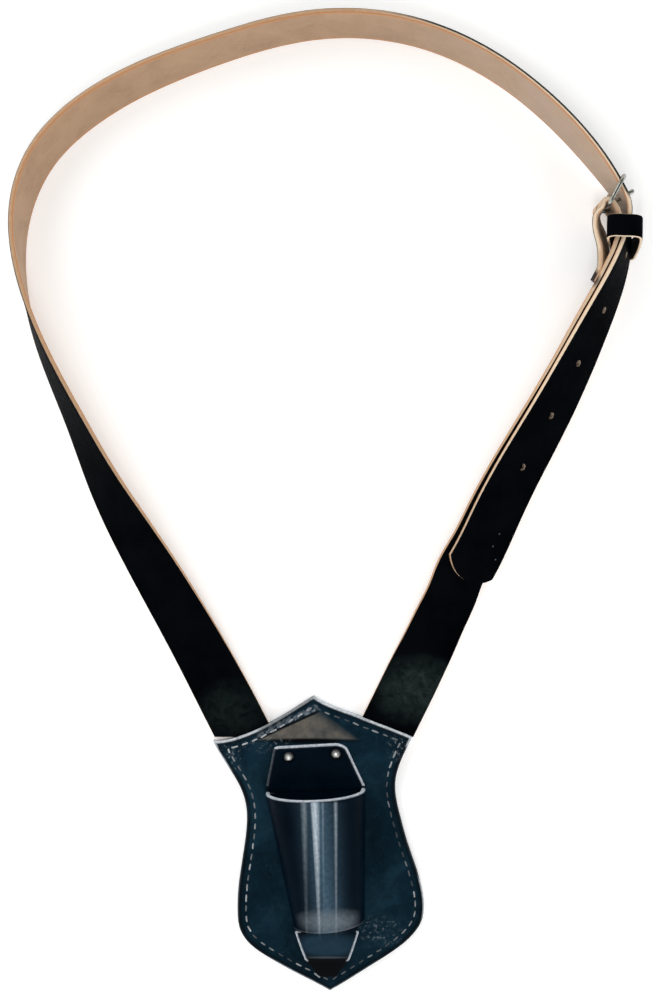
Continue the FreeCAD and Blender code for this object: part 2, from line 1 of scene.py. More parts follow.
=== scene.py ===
import bpy
import bmesh
import math
import random
import numpy as np
from mathutils import Vector, Matrix, noise
from mathutils.geometry import delaunay_2d_cdt


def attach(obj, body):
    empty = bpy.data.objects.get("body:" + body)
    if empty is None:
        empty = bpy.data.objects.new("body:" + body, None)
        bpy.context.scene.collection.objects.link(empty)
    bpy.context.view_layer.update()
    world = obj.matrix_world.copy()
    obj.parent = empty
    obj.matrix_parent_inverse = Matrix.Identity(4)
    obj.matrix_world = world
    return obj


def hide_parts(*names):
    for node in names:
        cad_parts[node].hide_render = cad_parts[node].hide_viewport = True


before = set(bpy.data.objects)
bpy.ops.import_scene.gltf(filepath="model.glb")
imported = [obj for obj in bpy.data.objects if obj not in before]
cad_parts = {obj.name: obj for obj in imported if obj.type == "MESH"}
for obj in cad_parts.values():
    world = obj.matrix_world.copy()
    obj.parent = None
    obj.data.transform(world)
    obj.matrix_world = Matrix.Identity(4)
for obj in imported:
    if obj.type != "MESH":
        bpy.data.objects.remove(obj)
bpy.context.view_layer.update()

SHIFT_Y = 240.0          # design drawing millimetres to frame: y + SHIFT_Y, then / 1000
rng = random.Random(7)

# ------------------------------------------------------------------ design data
STRAP_W, STRAP_T, PLATE_T = 38.0, 3.5, 3.0
RAMP_Y0, RAMP_Y1 = -187.0, -200.0
STITCH_INSET, STITCH_PITCH = 6.0, 7.2
HEEL = (190.8, 199.9)
FRAME_WIRE, FRAME_REACH, FRAME_ANGLE = 2.8, 21.5, 62.0
FRAME_Z0, FRAME_Z1, FRAME_CORNER = 1.8, 45.6, 3.2
PRONG_ANGLE, PRONG_WIRE, PRONG_REACH, PRONG_Z = 32.2, 2.4, 22.3, 23.8
KEEPER_W = 15.0
KEEPER_T = 2.0
KEEPER_ORIGIN = (203.0, 183.0)
KEEPER_DIR = (0.02, 1.0)
KEEPER_SKEW = 0.223     # the loop leans along the strap
KEEPER_MID = [(1.4, 1.6), (-0.8, 3.2), (-1.9, 7.0), (-5.1, 16.0), (-7.7, 24.0),
              (-10.1, 32.0), (-12.3, 40.0), (-12.3, 43.6), (-10.2, 45.6), (-5.0, 46.0),
              (1.5, 45.9), (5.8, 45.2), (8.7, 43.2), (10.1, 39.5), (11.2, 30.0),
              (11.9, 18.0), (11.9, 8.0), (11.4, 3.6), (9.6, 1.7), (5.9, 1.5)]
CUP_T, CUP_BACK_T = 3.0, 2.8
CUP_MOUTH = ((-42.3, -203.2), (27.0, -200.2))
CUP_END = ((-22.6, -298.1), (26.6, -293.2))
CUP_MOUTH_H, CUP_END_H, CUP_POWER = 31.0, 19.0, 2.8
TONGUE_T = 2.6
RIVET_AT = ((-26.2, -178.0), (6.5, -176.0))
HOLE_D, HOLE_PITCH, HOLE_COUNT, TIP_SAG = 4.6, 40.3, 6, 11.0
LONG_PATH = [
    (-52.24, -173.47, 4.75, 0.0), (-56.83, -164.58, 4.75, 0.0),
    (-61.40, -155.70, 4.77, 0.0), (-72.28, -134.47, 5.05, 4.3),
    (-83.32, -113.31, 5.74, 10.6), (-94.74, -92.22, 7.21, 16.6),
    (-106.55, -71.20, 8.88, 22.1), (-118.65, -50.22, 10.56, 27.9),
    (-130.89, -29.29, 12.42, 34.9), (-142.88, -8.35, 14.36, 43.0),
    (-154.01, 12.68, 16.07, 51.5), (-164.04, 33.89, 17.38, 59.5),
    (-173.89, 55.36, 18.21, 66.2), (-184.10, 77.18, 18.70, 71.4),
    (-193.93, 99.44, 18.99, 75.7), (-202.51, 122.21, 19.14, 80.1),
    (-208.95, 145.57, 19.20, 85.4), (-212.36, 169.27, 19.16, 91.5),
    (-211.89, 192.84, 19.18, 97.6), (-206.65, 215.79, 19.04, 102.7),
    (-196.06, 237.22, 18.85, 106.3), (-180.16, 255.76, 18.70, 108.4),
    (-161.06, 271.10, 18.65, 109.1), (-140.75, 283.55, 18.69, 108.5),
    (-119.53, 293.82, 18.79, 107.1), (-97.53, 302.64, 18.89, 105.6),
    (-74.89, 310.73, 18.96, 104.3), (-51.73, 318.11, 19.00, 103.5),
    (-28.20, 324.01, 19.03, 103.0), (-4.41, 327.61, 19.05, 102.6),
    (19.45, 328.34, 19.07, 102.0), (43.11, 326.12, 19.09, 101.4),
    (66.30, 320.89, 19.11, 100.8), (88.75, 312.58, 19.23, 100.2),
    (110.17, 301.39, 19.59, 99.7), (130.31, 287.88, 20.14, 99.3),
    (148.88, 272.62, 20.91, 99.1), (165.78, 256.03, 21.90, 98.7),
    (171.08, 250.19, 22.24, 98.4), (176.24, 244.19, 22.58, 97.8),
    (181.28, 238.03, 22.90, 97.0), (186.20, 231.68, 23.20, 95.9),
    (191.01, 225.16, 23.46, 94.4), (195.75, 218.45, 23.69, 92.5),
    (200.40, 211.55, 23.87, 90.1), (204.59, 204.46, 23.99, 87.2),
    (206.90, 197.19, 24.05, 84.0), (207.34, 189.78, 24.04, 80.7),
    (206.80, 182.27, 23.95, 77.4), (205.54, 174.67, 23.78, 74.2),
    (203.66, 167.03, 23.54, 71.1), (201.26, 159.36, 23.25, 68.1),
    (198.45, 151.68, 22.89, 65.1), (195.32, 144.03, 22.49, 62.3),
    (191.97, 136.43, 22.04, 59.6), (183.30, 117.81, 20.77, 53.6),
    (174.75, 99.79, 19.35, 48.4), (166.14, 82.17, 17.88, 43.9),
    (157.20, 64.67, 16.47, 39.8), (147.73, 47.07, 15.18, 36.0),
    (137.97, 29.32, 14.07, 32.5), (128.42, 11.48, 13.12, 29.3),
    (119.57, -6.40, 12.35, 26.5), (111.37, -24.26, 11.76, 24.4),
    (102.48, -42.04, 11.34, 22.9), (94.73, -54.82, 11.15, 22.4),
]
SHORT_PATH = [
    (34.87, -174.25, 4.75, 0.0), (41.48, -160.78, 4.75, 0.0),
    (48.10, -147.31, 4.78, 0.0), (56.01, -131.24, 4.62, 1.2),
    (63.86, -115.20, 4.45, 6.0), (71.63, -99.07, 5.94, 12.5),
    (79.06, -82.65, 7.50, 17.5), (86.70, -66.33, 8.41, 20.5),
    (93.37, -49.00, 9.01, 22.5), (103.09, -31.67, 9.31, 23.5),
    (111.66, -14.10, 9.83, 25.3), (120.34, 3.77, 10.52, 27.8),
    (129.84, 21.64, 11.34, 30.7), (139.74, 39.39, 12.23, 34.1),
    (149.55, 56.97, 13.15, 37.8), (158.84, 74.38, 14.41, 41.7),
    (167.64, 91.82, 15.81, 46.0), (176.00, 109.65, 17.49, 50.7),
    (184.40, 128.02, 19.16, 56.3), (187.97, 135.97, 19.85, 59.0),
    (191.64, 144.48, 20.54, 62.0), (195.04, 153.01, 21.20, 65.1),
    (198.03, 161.50, 21.81, 68.4), (200.48, 169.92, 22.36, 71.9),
    (202.25, 178.21, 22.84, 75.4), (202.90, 183.00, 23.48, 80.5),
    (201.90, 188.30, 23.53, 83.5), (199.70, 193.40, 23.52, 86.5),
    (196.90, 198.00, 23.48, 89.0), (193.75, 202.13, 23.50, 90.0),
    (192.65, 203.10, 23.50, 90.0), (191.12, 203.59, 23.50, 90.0),
    (189.53, 203.38, 23.50, 90.0), (188.18, 202.52, 23.50, 90.0),
    (187.32, 201.17, 23.50, 90.0), (187.11, 199.58, 23.50, 90.0),
    (186.60, 196.20, 23.37, 93.0), (186.00, 192.30, 23.30, 96.5),
    (186.90, 186.50, 22.90, 100.5), (188.70, 180.00, 22.30, 104.3),
    (190.20, 173.50, 21.60, 107.4), (191.40, 167.50, 21.00, 109.8),
    (192.15, 162.20, 20.40, 111.7), (192.30, 156.60, 19.92, 114.0),
    (191.42, 152.78, 19.55, 115.4), (190.10, 149.27, 19.21, 116.7),
    (188.90, 146.20, 18.90, 117.8),
]
SIDE_TOP_RIGHT = [(-9.0, -136.5), (3.2, -143.0), (17.9, -148.4), (32.6, -154.0),
                  (47.3, -159.6), (59.7, -164.8)]
SIDE_RIGHT = [(59.7, -164.8), (51.1, -182.9), (48.3, -193.5), (48.3, -205.5),
              (51.2, -219.4), (56.5, -238.6), (63.0, -257.7), (66.8, -272.3),
              (67.9, -282.4), (66.6, -292.5), (61.0, -301.9), (47.0, -314.1),
              (29.6, -325.3), (16.4, -333.6), (2.4, -342.0)]
SIDE_LEFT = [(2.4, -342.0), (-8.7, -335.9), (-23.3, -328.5), (-40.7, -318.6),
             (-54.6, -308.2), (-60.4, -298.8), (-62.0, -287.0), (-61.6, -272.3),
             (-59.8, -257.7), (-56.9, -238.6), (-55.5, -223.9), (-56.2, -212.4),
             (-60.0, -200.3), (-68.5, -185.2), (-79.0, -167.6)]
SIDE_TOP_LEFT = [(-79.0, -167.6), (-70.3, -166.9), (-58.4, -163.6),
                 (-42.3, -156.6), (-26.2, -147.4), (-9.0, -136.5)]
TAB = [(-42.0, -199.2), (-36.5, -171.0), (8.2, -168.6), (14.0, -171.0), (26.7, -198.6),
       (27.0, -201.4), (-42.3, -204.4)]
TONGUE_SIDE = [(-288.0, 19.4), (-297.5, 18.6), (-301.0, 17.6), (-316.0, 8.0), (-320.0, 6.02), (-331.5, 6.02)]
TONGUE_PLAN = [(-8.5, -288.0), (11.5, -288.0), (11.5, -297.4), (20.5, -297.6), (20.8, -299.5), (14.6, -319.5), (10.5, -326.0),
               (6.5, -331.5), (-5.0, -331.5), (-9.5, -326.0), (-13.6, -319.5), (-20.2, -299.5), (-20.0, -298.8), (-8.5, -298.2)]


# --------------------------------------------------------------------- splines
class Spline:
    """Cubic spline through points; open ends are not-a-knot, or it is closed."""

    def __init__(self, ts, pts, closed=False):
        self.t = np.asarray(ts, float)
        self.p = np.asarray(pts, float)
        n = len(self.t)
        h = np.diff(self.t)
        a = np.zeros((n, n))
        b = np.zeros((n, self.p.shape[1]))
        for i in range(1, n - 1):
            a[i, i - 1], a[i, i], a[i, i + 1] = h[i - 1], 2 * (h[i - 1] + h[i]), h[i]
            b[i] = 6 * ((self.p[i + 1] - self.p[i]) / h[i] - (self.p[i] - self.p[i - 1]) / h[i - 1])
        if closed:
            a[0, 0], a[0, -1] = 1, -1
            a[-1, 0], a[-1, 1] = 2 * h[0], h[0]
            a[-1, -1], a[-1, -2] = 2 * h[-1], h[-1]
            b[-1] = 6 * ((self.p[1] - self.p[0]) / h[0] - (self.p[-1] - self.p[-2]) / h[-1])
        elif n > 3:
            a[0, 0], a[0, 1], a[0, 2] = h[1], -(h[0] + h[1]), h[0]
            a[-1, -1], a[-1, -2], a[-1, -3] = h[-2], -(h[-1] + h[-2]), h[-1]
        else:
            a[0, 0] = a[-1, -1] = 1
        self.m = np.linalg.solve(a, b)

    def at(self, u):
        i = min(max(int(np.searchsorted(self.t, u)) - 1, 0), len(self.t) - 2)
        h = self.t[i + 1] - self.t[i]
        a, b = (self.t[i + 1] - u) / h, (u - self.t[i]) / h
        return (a * self.p[i] + b * self.p[i + 1] +
                ((a ** 3 - a) * self.m[i] + (b ** 3 - b) * self.m[i + 1]) * h * h / 6)

    def slope(self, u):
        i = min(max(int(np.searchsorted(self.t, u)) - 1, 0), len(self.t) - 2)
        h = self.t[i + 1] - self.t[i]
        a, b = (self.t[i + 1] - u) / h, (u - self.t[i]) / h
        return ((self.p[i + 1] - self.p[i]) / h +
                (-(3 * a * a - 1) * self.m[i] + (3 * b * b - 1) * self.m[i + 1]) * h / 6)


def chord(pts, closed=False):
    p = np.asarray(pts, float)
    if closed:
        p = np.vstack([p, p[:1]])
    d = np.r_[0, np.cumsum(np.linalg.norm(np.diff(p, axis=0), axis=1))]
    return d, p


def through(pts, step, closed=False):
    """Points every `step` on a smooth curve through pts."""
    d, p = chord(pts, closed)
    s = Spline(d, p, closed)
    n = max(int(round(d[-1] / step)), 4)
    us = np.linspace(0, d[-1], n + 1)
    return np.array([s.at(u) for u in (us[:-1] if closed else us)])


def smooth01(a, b, x):
    t = np.clip((np.asarray(x, float) - a) / (b - a), 0, 1)
    return t * t * (3 - 2 * t)


def bumps(x, y, z, size, seed=0.0):
    """Smooth noise, about -1 to 1, features of `size` millimetres."""
    return noise.noise(Vector((x / size + seed, y / size - seed, z / size + 0.37 * seed)))


# ------------------------------------------------------------------------ meshes
def make(name, verts, faces, mats, face_mats=None, uvs=None, attrs=None, sharp=None, body="sling",
         replaces=None, slot=None):
    v = np.asarray(verts, float)
    v = np.c_[v[:, 0], v[:, 1] + SHIFT_Y, v[:, 2]] / 1000.0
    me = bpy.data.meshes.new(name)
    me.from_pydata([tuple(q) for q in v], [], [tuple(int(i) for i in f) for f in faces])
    for m in mats:
        me.materials.append(m)
    if face_mats is not None:
        me.polygons.foreach_set("material_index", np.asarray(face_mats, np.int32))
    me.polygons.foreach_set("use_smooth", np.ones(len(me.polygons), bool))
    if uvs is not None:
        layer = me.uv_layers.new(name="run")
        flat = [c for f in uvs for uv in f for c in uv]
        layer.data.foreach_set("uv", flat)
    for key, vals in (attrs or {}).items():
        at = me.attributes.new(key, 'FLOAT', 'POINT')
        at.data.foreach_set("value", np.asarray(vals, np.float32))
    me.update()
    ob = bpy.data.objects.new(name, me)
    bpy.context.scene.collection.objects.link(ob)
    fix(ob, sharp)
    if body:
        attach(ob, body)
    if replaces:
        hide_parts(*replaces)
    return ob


def fix(ob, sharp=None):
    """Outward normals, and sharp edges where faces meet at more than `sharp` degrees."""
    bm = bmesh.new()
    bm.from_mesh(ob.data)
    bmesh.ops.recalc_face_normals(bm, faces=bm.faces)
    if sharp:
        lim = math.radians(sharp)
        for e in bm.edges:
            if len(e.link_faces) == 2:
                e.smooth = e.calc_face_angle(0.0) < lim
    bm.to_mesh(ob.data)
    bm.free()
    ob.data.update()


def solidify_grid(rings, closed_ring=True, cap=True):
    """Faces of a tube from equal rings of vertex indices."""
    faces = []
    for a, b in zip(rings, rings[1:]):
        n = len(a)
        for i in range(n if closed_ring else n - 1):
            j = (i + 1) % n
            faces.append((a[i], a[j], b[j], b[i]))
    if cap:
        faces.append(tuple(rings[0][::-1]))
        faces.append(tuple(rings[-1]))
    return faces


def carve(ob, tools, op='DIFFERENCE', sharp=38):
    """Boolean with tool objects, applied; the tools are removed."""
    for tool in tools:
        md = ob.modifiers.new("cut", 'BOOLEAN')
        md.operation = op
        md.solver = 'EXACT'
        md.material_mode = 'TRANSFER'
        md.object = tool
    bpy.context.view_layer.update()
    dg = bpy.context.evaluated_depsgraph_get()
    me = bpy.data.meshes.new_from_object(ob.evaluated_get(dg), preserve_all_data_layers=True, depsgraph=dg)
    ob.modifiers.clear()
    old = ob.data
    ob.data = me
    bpy.data.meshes.remove(old)
    for tool in tools:
        d = tool.data
        bpy.data.objects.remove(tool)
        bpy.data.meshes.remove(d)
    fix(ob, sharp)


def cylinder(center, axis, radius, length, mat, seg=40, stretch=None):
    """Plain closed cylinder used as a cutter, design millimetres."""
    z = Vector(axis).normalized()
    x = Vector(stretch).normalized() if stretch is not None else z.orthogonal().normalized()
    x = (x - z * x.dot(z)).normalized()
    y = z.cross(x)
    vs, rings = [], []
    for s in (-0.5, 0.5):
        ring = []
        for i in range(seg):
            a = 2 * math.pi * i / seg
            q = Vector(center) + x * (math.cos(a) * radius) + y * (math.sin(a) * radius) + z * (s * length)
            if stretch is not None:
                q += x * (math.copysign(1.4, math.cos(a)) if abs(math.cos(a)) > 1e-6 else 0)
            ring.append(len(vs))
            vs.append(tuple(q))
        rings.append(ring)
    return make("cutter", vs, solidify_grid(rings), [mat], body=None)


def lathe(profile, center, axis, name, mat, seg=56, **kw):
    """Closed turned piece from (radius, height) pairs; first and last on the axis."""
    z = Vector(axis).normalized()
    x = z.orthogonal().normalized()
    y = z.cross(x)
    vs, rings = [], []
    faces = []
    for r, h in profile:
        if r < 1e-6:
            rings.append([len(vs)])
            vs.append(tuple(Vector(center) + z * h))
        else:
            ring = []
            for i in range(seg):
                a = 2 * math.pi * i / seg
                ring.append(len(vs))
                vs.append(tuple(Vector(center) + x * (math.cos(a) * r) + y * (math.sin(a) * r) + z * h))
            rings.append(ring)
    for a, b in zip(rings, rings[1:]):
        if len(a) == 1 and len(b) > 1:
            faces += [(a[0], b[i], b[(i + 1) % seg]) for i in range(seg)]
        elif len(b) == 1 and len(a) > 1:
            faces += [(a[(i + 1) % seg], a[i], b[0]) for i in range(seg)]
        elif len(a) > 1:
            faces += [(a[i], a[(i + 1) % seg], b[(i + 1) % seg], b[i]) for i in range(seg)]
    return make(name, vs, faces, [mat], **kw)


def sweep(points, rad_n, rad_b, up, name, mat, seg=20, closed=False, **kw):
    """Tube along points; rad_n across the plane normal `up`, rad_b along it."""
    pts = [Vector(p) for p in points]
    n = len(pts)
    vs, rings = [], []
    upv = Vector(up).normalized()
    for i, p in enumerate(pts):
        if closed:
            t = pts[(i + 1) % n] - pts[i - 1]
        else:
            t = pts[min(i + 1, n - 1)] - pts[max(i - 1, 0)]
        t.normalize()
        s = upv.cross(t).normalized()
        rn = rad_n[i] if hasattr(rad_n, "__len__") else rad_n
        rb = rad_b[i] if hasattr(rad_b, "__len__") else rad_b
        ring = []
        for k in range(seg):
            a = 2 * math.pi * k / seg
            ring.append(len(vs))
            vs.append(tuple(p + s * (math.cos(a) * rn) + upv * (math.sin(a) * rb)))
        rings.append(ring)
    if closed:
        faces = solidify_grid(rings + [rings[0]], cap=False)
    else:
        faces = solidify_grid(rings)
    return make(name, vs, faces, [mat], **kw)


# --------------------------------------------------------------------- materials
class Mat:
    """Small helper around a node material."""

    def __init__(self, name, base, rough, metallic=0.0, **sockets):
        self.m = bpy.data.materials.new(name)
        self.m.use_nodes = True
        self.nt = self.m.node_tree
        self.bsdf = self.nt.nodes["Principled BSDF"]
        self.bsdf.inputs["Base Color"].default_value = (*base, 1)
        self.bsdf.inputs["Roughness"].default_value = rough
        self.bsdf.inputs["Metallic"].default_value = metallic
        for k, v in sockets.items():
            self.bsdf.inputs[k.replace("_", " ")].default_value = v
        self.co = self.nt.nodes.new("ShaderNodeTexCoord").outputs["Object"]

    def add(self, kind, **inputs):
        n = self.nt.nodes.new(kind)
        for k, v in inputs.items():
            if k.startswith("p_"):
                setattr(n, k[2:], v)
            else:
                s = n.inputs[k.replace("_", " ")]
                if hasattr(v, "links") or hasattr(v, "is_linked"):
                    self.nt.links.new(v, s)
                else:
                    s.default_value = v
        return n

    def link(self, a, socket):
        self.nt.links.new(a, self.bsdf.inputs[socket])

    def scaled(self, s, src=None):
        return self.add("ShaderNodeVectorMath", p_operation='MULTIPLY').outputs[0] if False else self._mul(s, src)

    def _mul(self, s, src):
        n = self.nt.nodes.new("ShaderNodeVectorMath")
        n.operation = 'MULTIPLY'
        self.nt.links.new(src or self.co, n.inputs[0])
        n.inputs[1].default_value = s
        return n.outputs[0]

    def noise(self, scale, detail=3.0, rough=0.55, src=None, dist=0.0):
        n = self.add("ShaderNodeTexNoise", Vector=src or self.co, Scale=scale, Detail=detail,
                     Roughness=rough, Distortion=dist)
        return n.outputs["Fac"] if "Fac" in n.outputs else n.outputs[0]

    def cells(self, scale, src=None, feature='DISTANCE_TO_EDGE'):
        n = self.add("ShaderNodeTexVoronoi", p_feature=feature, Vector=src or self.co, Scale=scale)
        return n.outputs["Distance"]

    def ramp(self, fac, stops):
        n = self.nt.nodes.new("ShaderNodeValToRGB")
        self.nt.links.new(fac, n.inputs[0])
        e = n.color_ramp.elements
        while len(e) < len(stops):
            e.new(0.5)
        for k, (pos, col) in enumerate(stops):
            e[k].position = pos
            e[k].color = (*col, 1) if len(col) == 3 else col
        return n.outputs[0]

    def mix(self, fac, a, b):
        n = self.nt.nodes.new("ShaderNodeMix")
        n.data_type = 'RGBA'
        for sock, v in ((n.inputs[0], fac), (n.inputs[6], a), (n.inputs[7], b)):
            if isinstance(v, (float, int)):
                sock.default_value = v
            elif isinstance(v, tuple):
                sock.default_value = (*v, 1)
            else:
                self.nt.links.new(v, sock)
        return n.outputs[2]

    def math(self, op, a, b=0.0, clamp=False):
        n = self.nt.nodes.new("ShaderNodeMath")
        n.operation = op
        n.use_clamp = clamp
        for sock, v in ((n.inputs[0], a), (n.inputs[1], b)):
            if isinstance(v, (float, int)):
                sock.default_value = v
            else:
                self.nt.links.new(v, sock)
        return n.outputs[0]

    def span(self, v, a, b, c=0.0, d=1.0):
        n = self.nt.nodes.new("ShaderNodeMapRange")
        self.nt.links.new(v, n.inputs[0])
        n.inputs[1].default_value, n.inputs[2].default_value = a, b
        n.inputs[3].default_value, n.inputs[4].default_value = c, d
        return n.outputs[0]

    def bump(self, height, strength, dist, below=None):
        n = self.nt.nodes.new("ShaderNodeBump")
        n.inputs["Strength"].default_value = strength
        n.inputs["Distance"].default_value = dist
        self.nt.links.new(height, n.inputs["Height"])
        if below is not None:
            self.nt.links.new(below, n.inputs["Normal"])
        return n.outputs[0]

    def patch(self, x, y, rx, ry, soft=0.45):
        """1 inside an ellipse on the object (millimetres as drawn), 0 outside."""
        n = self.nt.nodes.new("ShaderNodeVectorMath")
        n.operation = 'SUBTRACT'
        self.nt.links.new(self.co, n.inputs[0])
        n.inputs[1].default_value = (x / 1000, (y + 240) / 1000, 0)
        k = self.nt.nodes.new("ShaderNodeVectorMath")
        k.operation = 'LENGTH'
        self.nt.links.new(self._mul((1000 / rx, 1000 / ry, 0.0), n.outputs[0]), k.inputs[0])
        return self.span(k.outputs["Value"], 1.0 - soft, 1.0 + soft, 1.0, 0.0)

    def beyond(self, x, y, nx, ny, soft):
        """Rises from 0 to 1 across a line on the object through x, y; nx, ny point to the 1 side."""
        n = self.nt.nodes.new("ShaderNodeVectorMath")
        n.operation = 'SUBTRACT'
        self.nt.links.new(self.co, n.inputs[0])
        n.inputs[1].default_value = (x / 1000, (y + 240) / 1000, 0)
        k = self.nt.nodes.new("ShaderNodeVectorMath")
        k.operation = 'DOT_PRODUCT'
        self.nt.links.new(n.outputs[0], k.inputs[0])
        k.inputs[1].default_value = (nx * 1000 / soft, ny * 1000 / soft, 0)
        return self.math('ADD', k.outputs["Value"], 0.5, True)

    def streak(self, x0, y0, x1, y1, w0, w1, taper=1.0):
        """1 on a straight line down the object, fading sideways; taper is the width left at its lower end."""
        obj = self.split(self.co)
        k = (x1 - x0) / (y1 - y0)
        lin = self.math('SUBTRACT', obj[0], self.math('MULTIPLY', obj[1], k))
        off = self.math('ABSOLUTE', self.math('SUBTRACT', lin, (x0 - k * (y0 + 240)) / 1000))
        if taper != 1.0:
            off = self.math('DIVIDE', off, self.span(obj[1], (y0 + 240) / 1000, (y1 + 240) / 1000, 1.0, taper))
        return self.span(off, w0 / 1000, w1 / 1000, 1.0, 0.0)

    def attr(self, name):
        n = self.nt.nodes.new("ShaderNodeAttribute")
        n.attribute_name = name
        return n.outputs["Fac"]

    def run(self):
        n = self.nt.nodes.new("ShaderNodeUVMap")
        n.uv_map = "run"
        return n.outputs[0]

    def split(self, v):
        n = self.nt.nodes.new("ShaderNodeSeparateXYZ")
        self.nt.links.new(v, n.inputs[0])
        return n.outputs


def leather_bump(m, strength=1.0, grain=1500.0):
    """Fine pebbled grain, creases and slow unevenness, in layers."""
    cell = m.cells(grain)
    fine = m.span(cell, 0.0, 0.28)
    crease = m.noise(260.0, 5.0, 0.62, dist=1.2)
    slow = m.noise(38.0, 2.0, 0.5)
    b = m.bump(slow, 0.35 * strength, 0.0016)
    b = m.bump(crease, 0.30 * strength, 0.0005, b)
    return m.bump(fine, 0.34 * strength, 0.00016, b), fine, crease, slow


def plate_leather():
    m = Mat("shield_leather", (0.004, 0.013, 0.021), 0.42, Specular_IOR_Level=0.03, Sheen_Weight=0.0)
    nrm, fine, crease, slow = leather_bump(m, 1.0)
    tone = m.noise(17.0, 5.0, 0.62, dist=0.5)
    dark = m.ramp(tone, [(0.34, (0.0006, 0.0056, 0.0105)), (0.50, (0.0017, 0.0118, 0.0212)),
                         (0.66, (0.0060, 0.0265, 0.0425))])
    # lighter pulled-up patches and fine scuffs
    pulled = m.span(m.noise(120.0, 6.0, 0.7, dist=0.8), 0.50, 0.78, 0.0, 0.42)
    col = m.mix(pulled, dark, (0.012, 0.040, 0.060))
    scuff = m.span(m.noise(520.0, 4.0, 0.7), 0.62, 0.80, 0.0, 0.38)
    col = m.mix(scuff, col, (0.040, 0.072, 0.092))
    # marks that only the front layer has
    front = m.span(m.split(m.co)[2], 0.0036, 0.0044)
    # painted sheen: a brownish light patch between the upper stitch line and the cup's tab stands in for the light the
    # leather reflects there
    tri = m.math('MULTIPLY', m.math('MULTIPLY', m.beyond(-8.6, -149.0, 0.4146, -0.91, 1.6), m.beyond(-6.0, -149.0, -0.59, -0.807, 7.0)),
                 m.beyond(0.0, -166.4, 0.0, 1.0, 1.6))
    apex_sheen = m.math('MULTIPLY', m.math('MULTIPLY', tri, front), m.span(m.noise(95.0, 5.0, 0.62), 0.30, 0.62, 0.35, 1.0))
    col = m.mix(m.math('MULTIPLY', apex_sheen, 0.95), col, (0.118, 0.105, 0.088))
    # painted shade darkens the crease under the stitches there, and a painted shadow line runs along the tab's top
    # edge
    crease_shade = m.math('MULTIPLY', m.beyond(-9.2, -147.6, 0.4146, -0.91, 0.5), m.beyond(-8.6, -149.2, -0.4146, 0.91, 0.6))
    near = m.math('MULTIPLY', m.beyond(-47.0, 0.0, 1.0, 0.0, 4.0), m.beyond(-6.0, 0.0, -1.0, 0.0, 3.0))
    near = m.math('MULTIPLY', near, front)
    col = m.mix(m.math('MULTIPLY', m.math('MULTIPLY', crease_shade, near), 0.9), col, (0.0005, 0.0012, 0.002))
    col = m.mix(m.math('MULTIPLY', m.patch(-12.5, -167.3, 29.0, 1.7, 0.4), front), col, (0.0004, 0.0010, 0.0016))
    # chalky grain along the upper left stitches
    chalk = m.math('MULTIPLY', m.math('MULTIPLY', m.beyond(-9.2, -147.6, -0.4146, 0.91, 0.8), m.beyond(-10.4, -143.4, 0.4146, -0.91, 1.2)), near)
    chalk = m.math('MULTIPLY', chalk, m.span(m.noise(260.0, 5.0, 0.72), 0.44, 0.62, 0.0, 0.62))
    col = m.mix(chalk, col, (0.24, 0.27, 0.31))
    # whitish mottling at the upper right corner and low on the right
    spots = m.math('MULTIPLY', m.span(m.noise(330.0, 5.0, 0.75), 0.54, 0.62), front)
    for x, y, rx, ry, amount in ((59.0, -172.0, 13.0, 13.0, 0.62), (36.0, -300.0, 16.0, 9.0, 0.30),
                                 (-68.0, -178.0, 7.0, 14.0, 0.45), (-44.0, -168.0, 16.0, 6.0, 0.25)):
        f = m.math('MULTIPLY', m.patch(x, y, rx, ry, 0.4), m.math('MULTIPLY', spots, amount))
        col = m.mix(f, col, (0.26, 0.30, 0.33))
    col = m.mix(m.math('MULTIPLY', m.attr("rim"), m.span(m.noise(90.0, 4.0, 0.6), 0.25, 0.6, 0.55, 0.95)), col, (0.0006, 0.0022, 0.0042))
    # raw cut edge colour, laid on by the edge attribute, which also carries a painted highlight along parts of the
    # outline
    raw = m.ramp(m.noise(700.0, 3.0, 0.6), [(0.3, (0.34, 0.38, 0.42)), (0.7, (0.66, 0.70, 0.74))])
    edge = m.attr("edge")
    worn = m.math('MULTIPLY', edge, m.span(m.noise(120.0, 4.0, 0.7), 0.22, 0.5, 0.45, 1.0))
    m.link(m.mix(worn, col, raw), "Base Color")
    m.link(m.span(crease, 0.2, 0.8, 0.38, 0.54), "Roughness")
    m.link(nrm, "Normal")
    return m.m


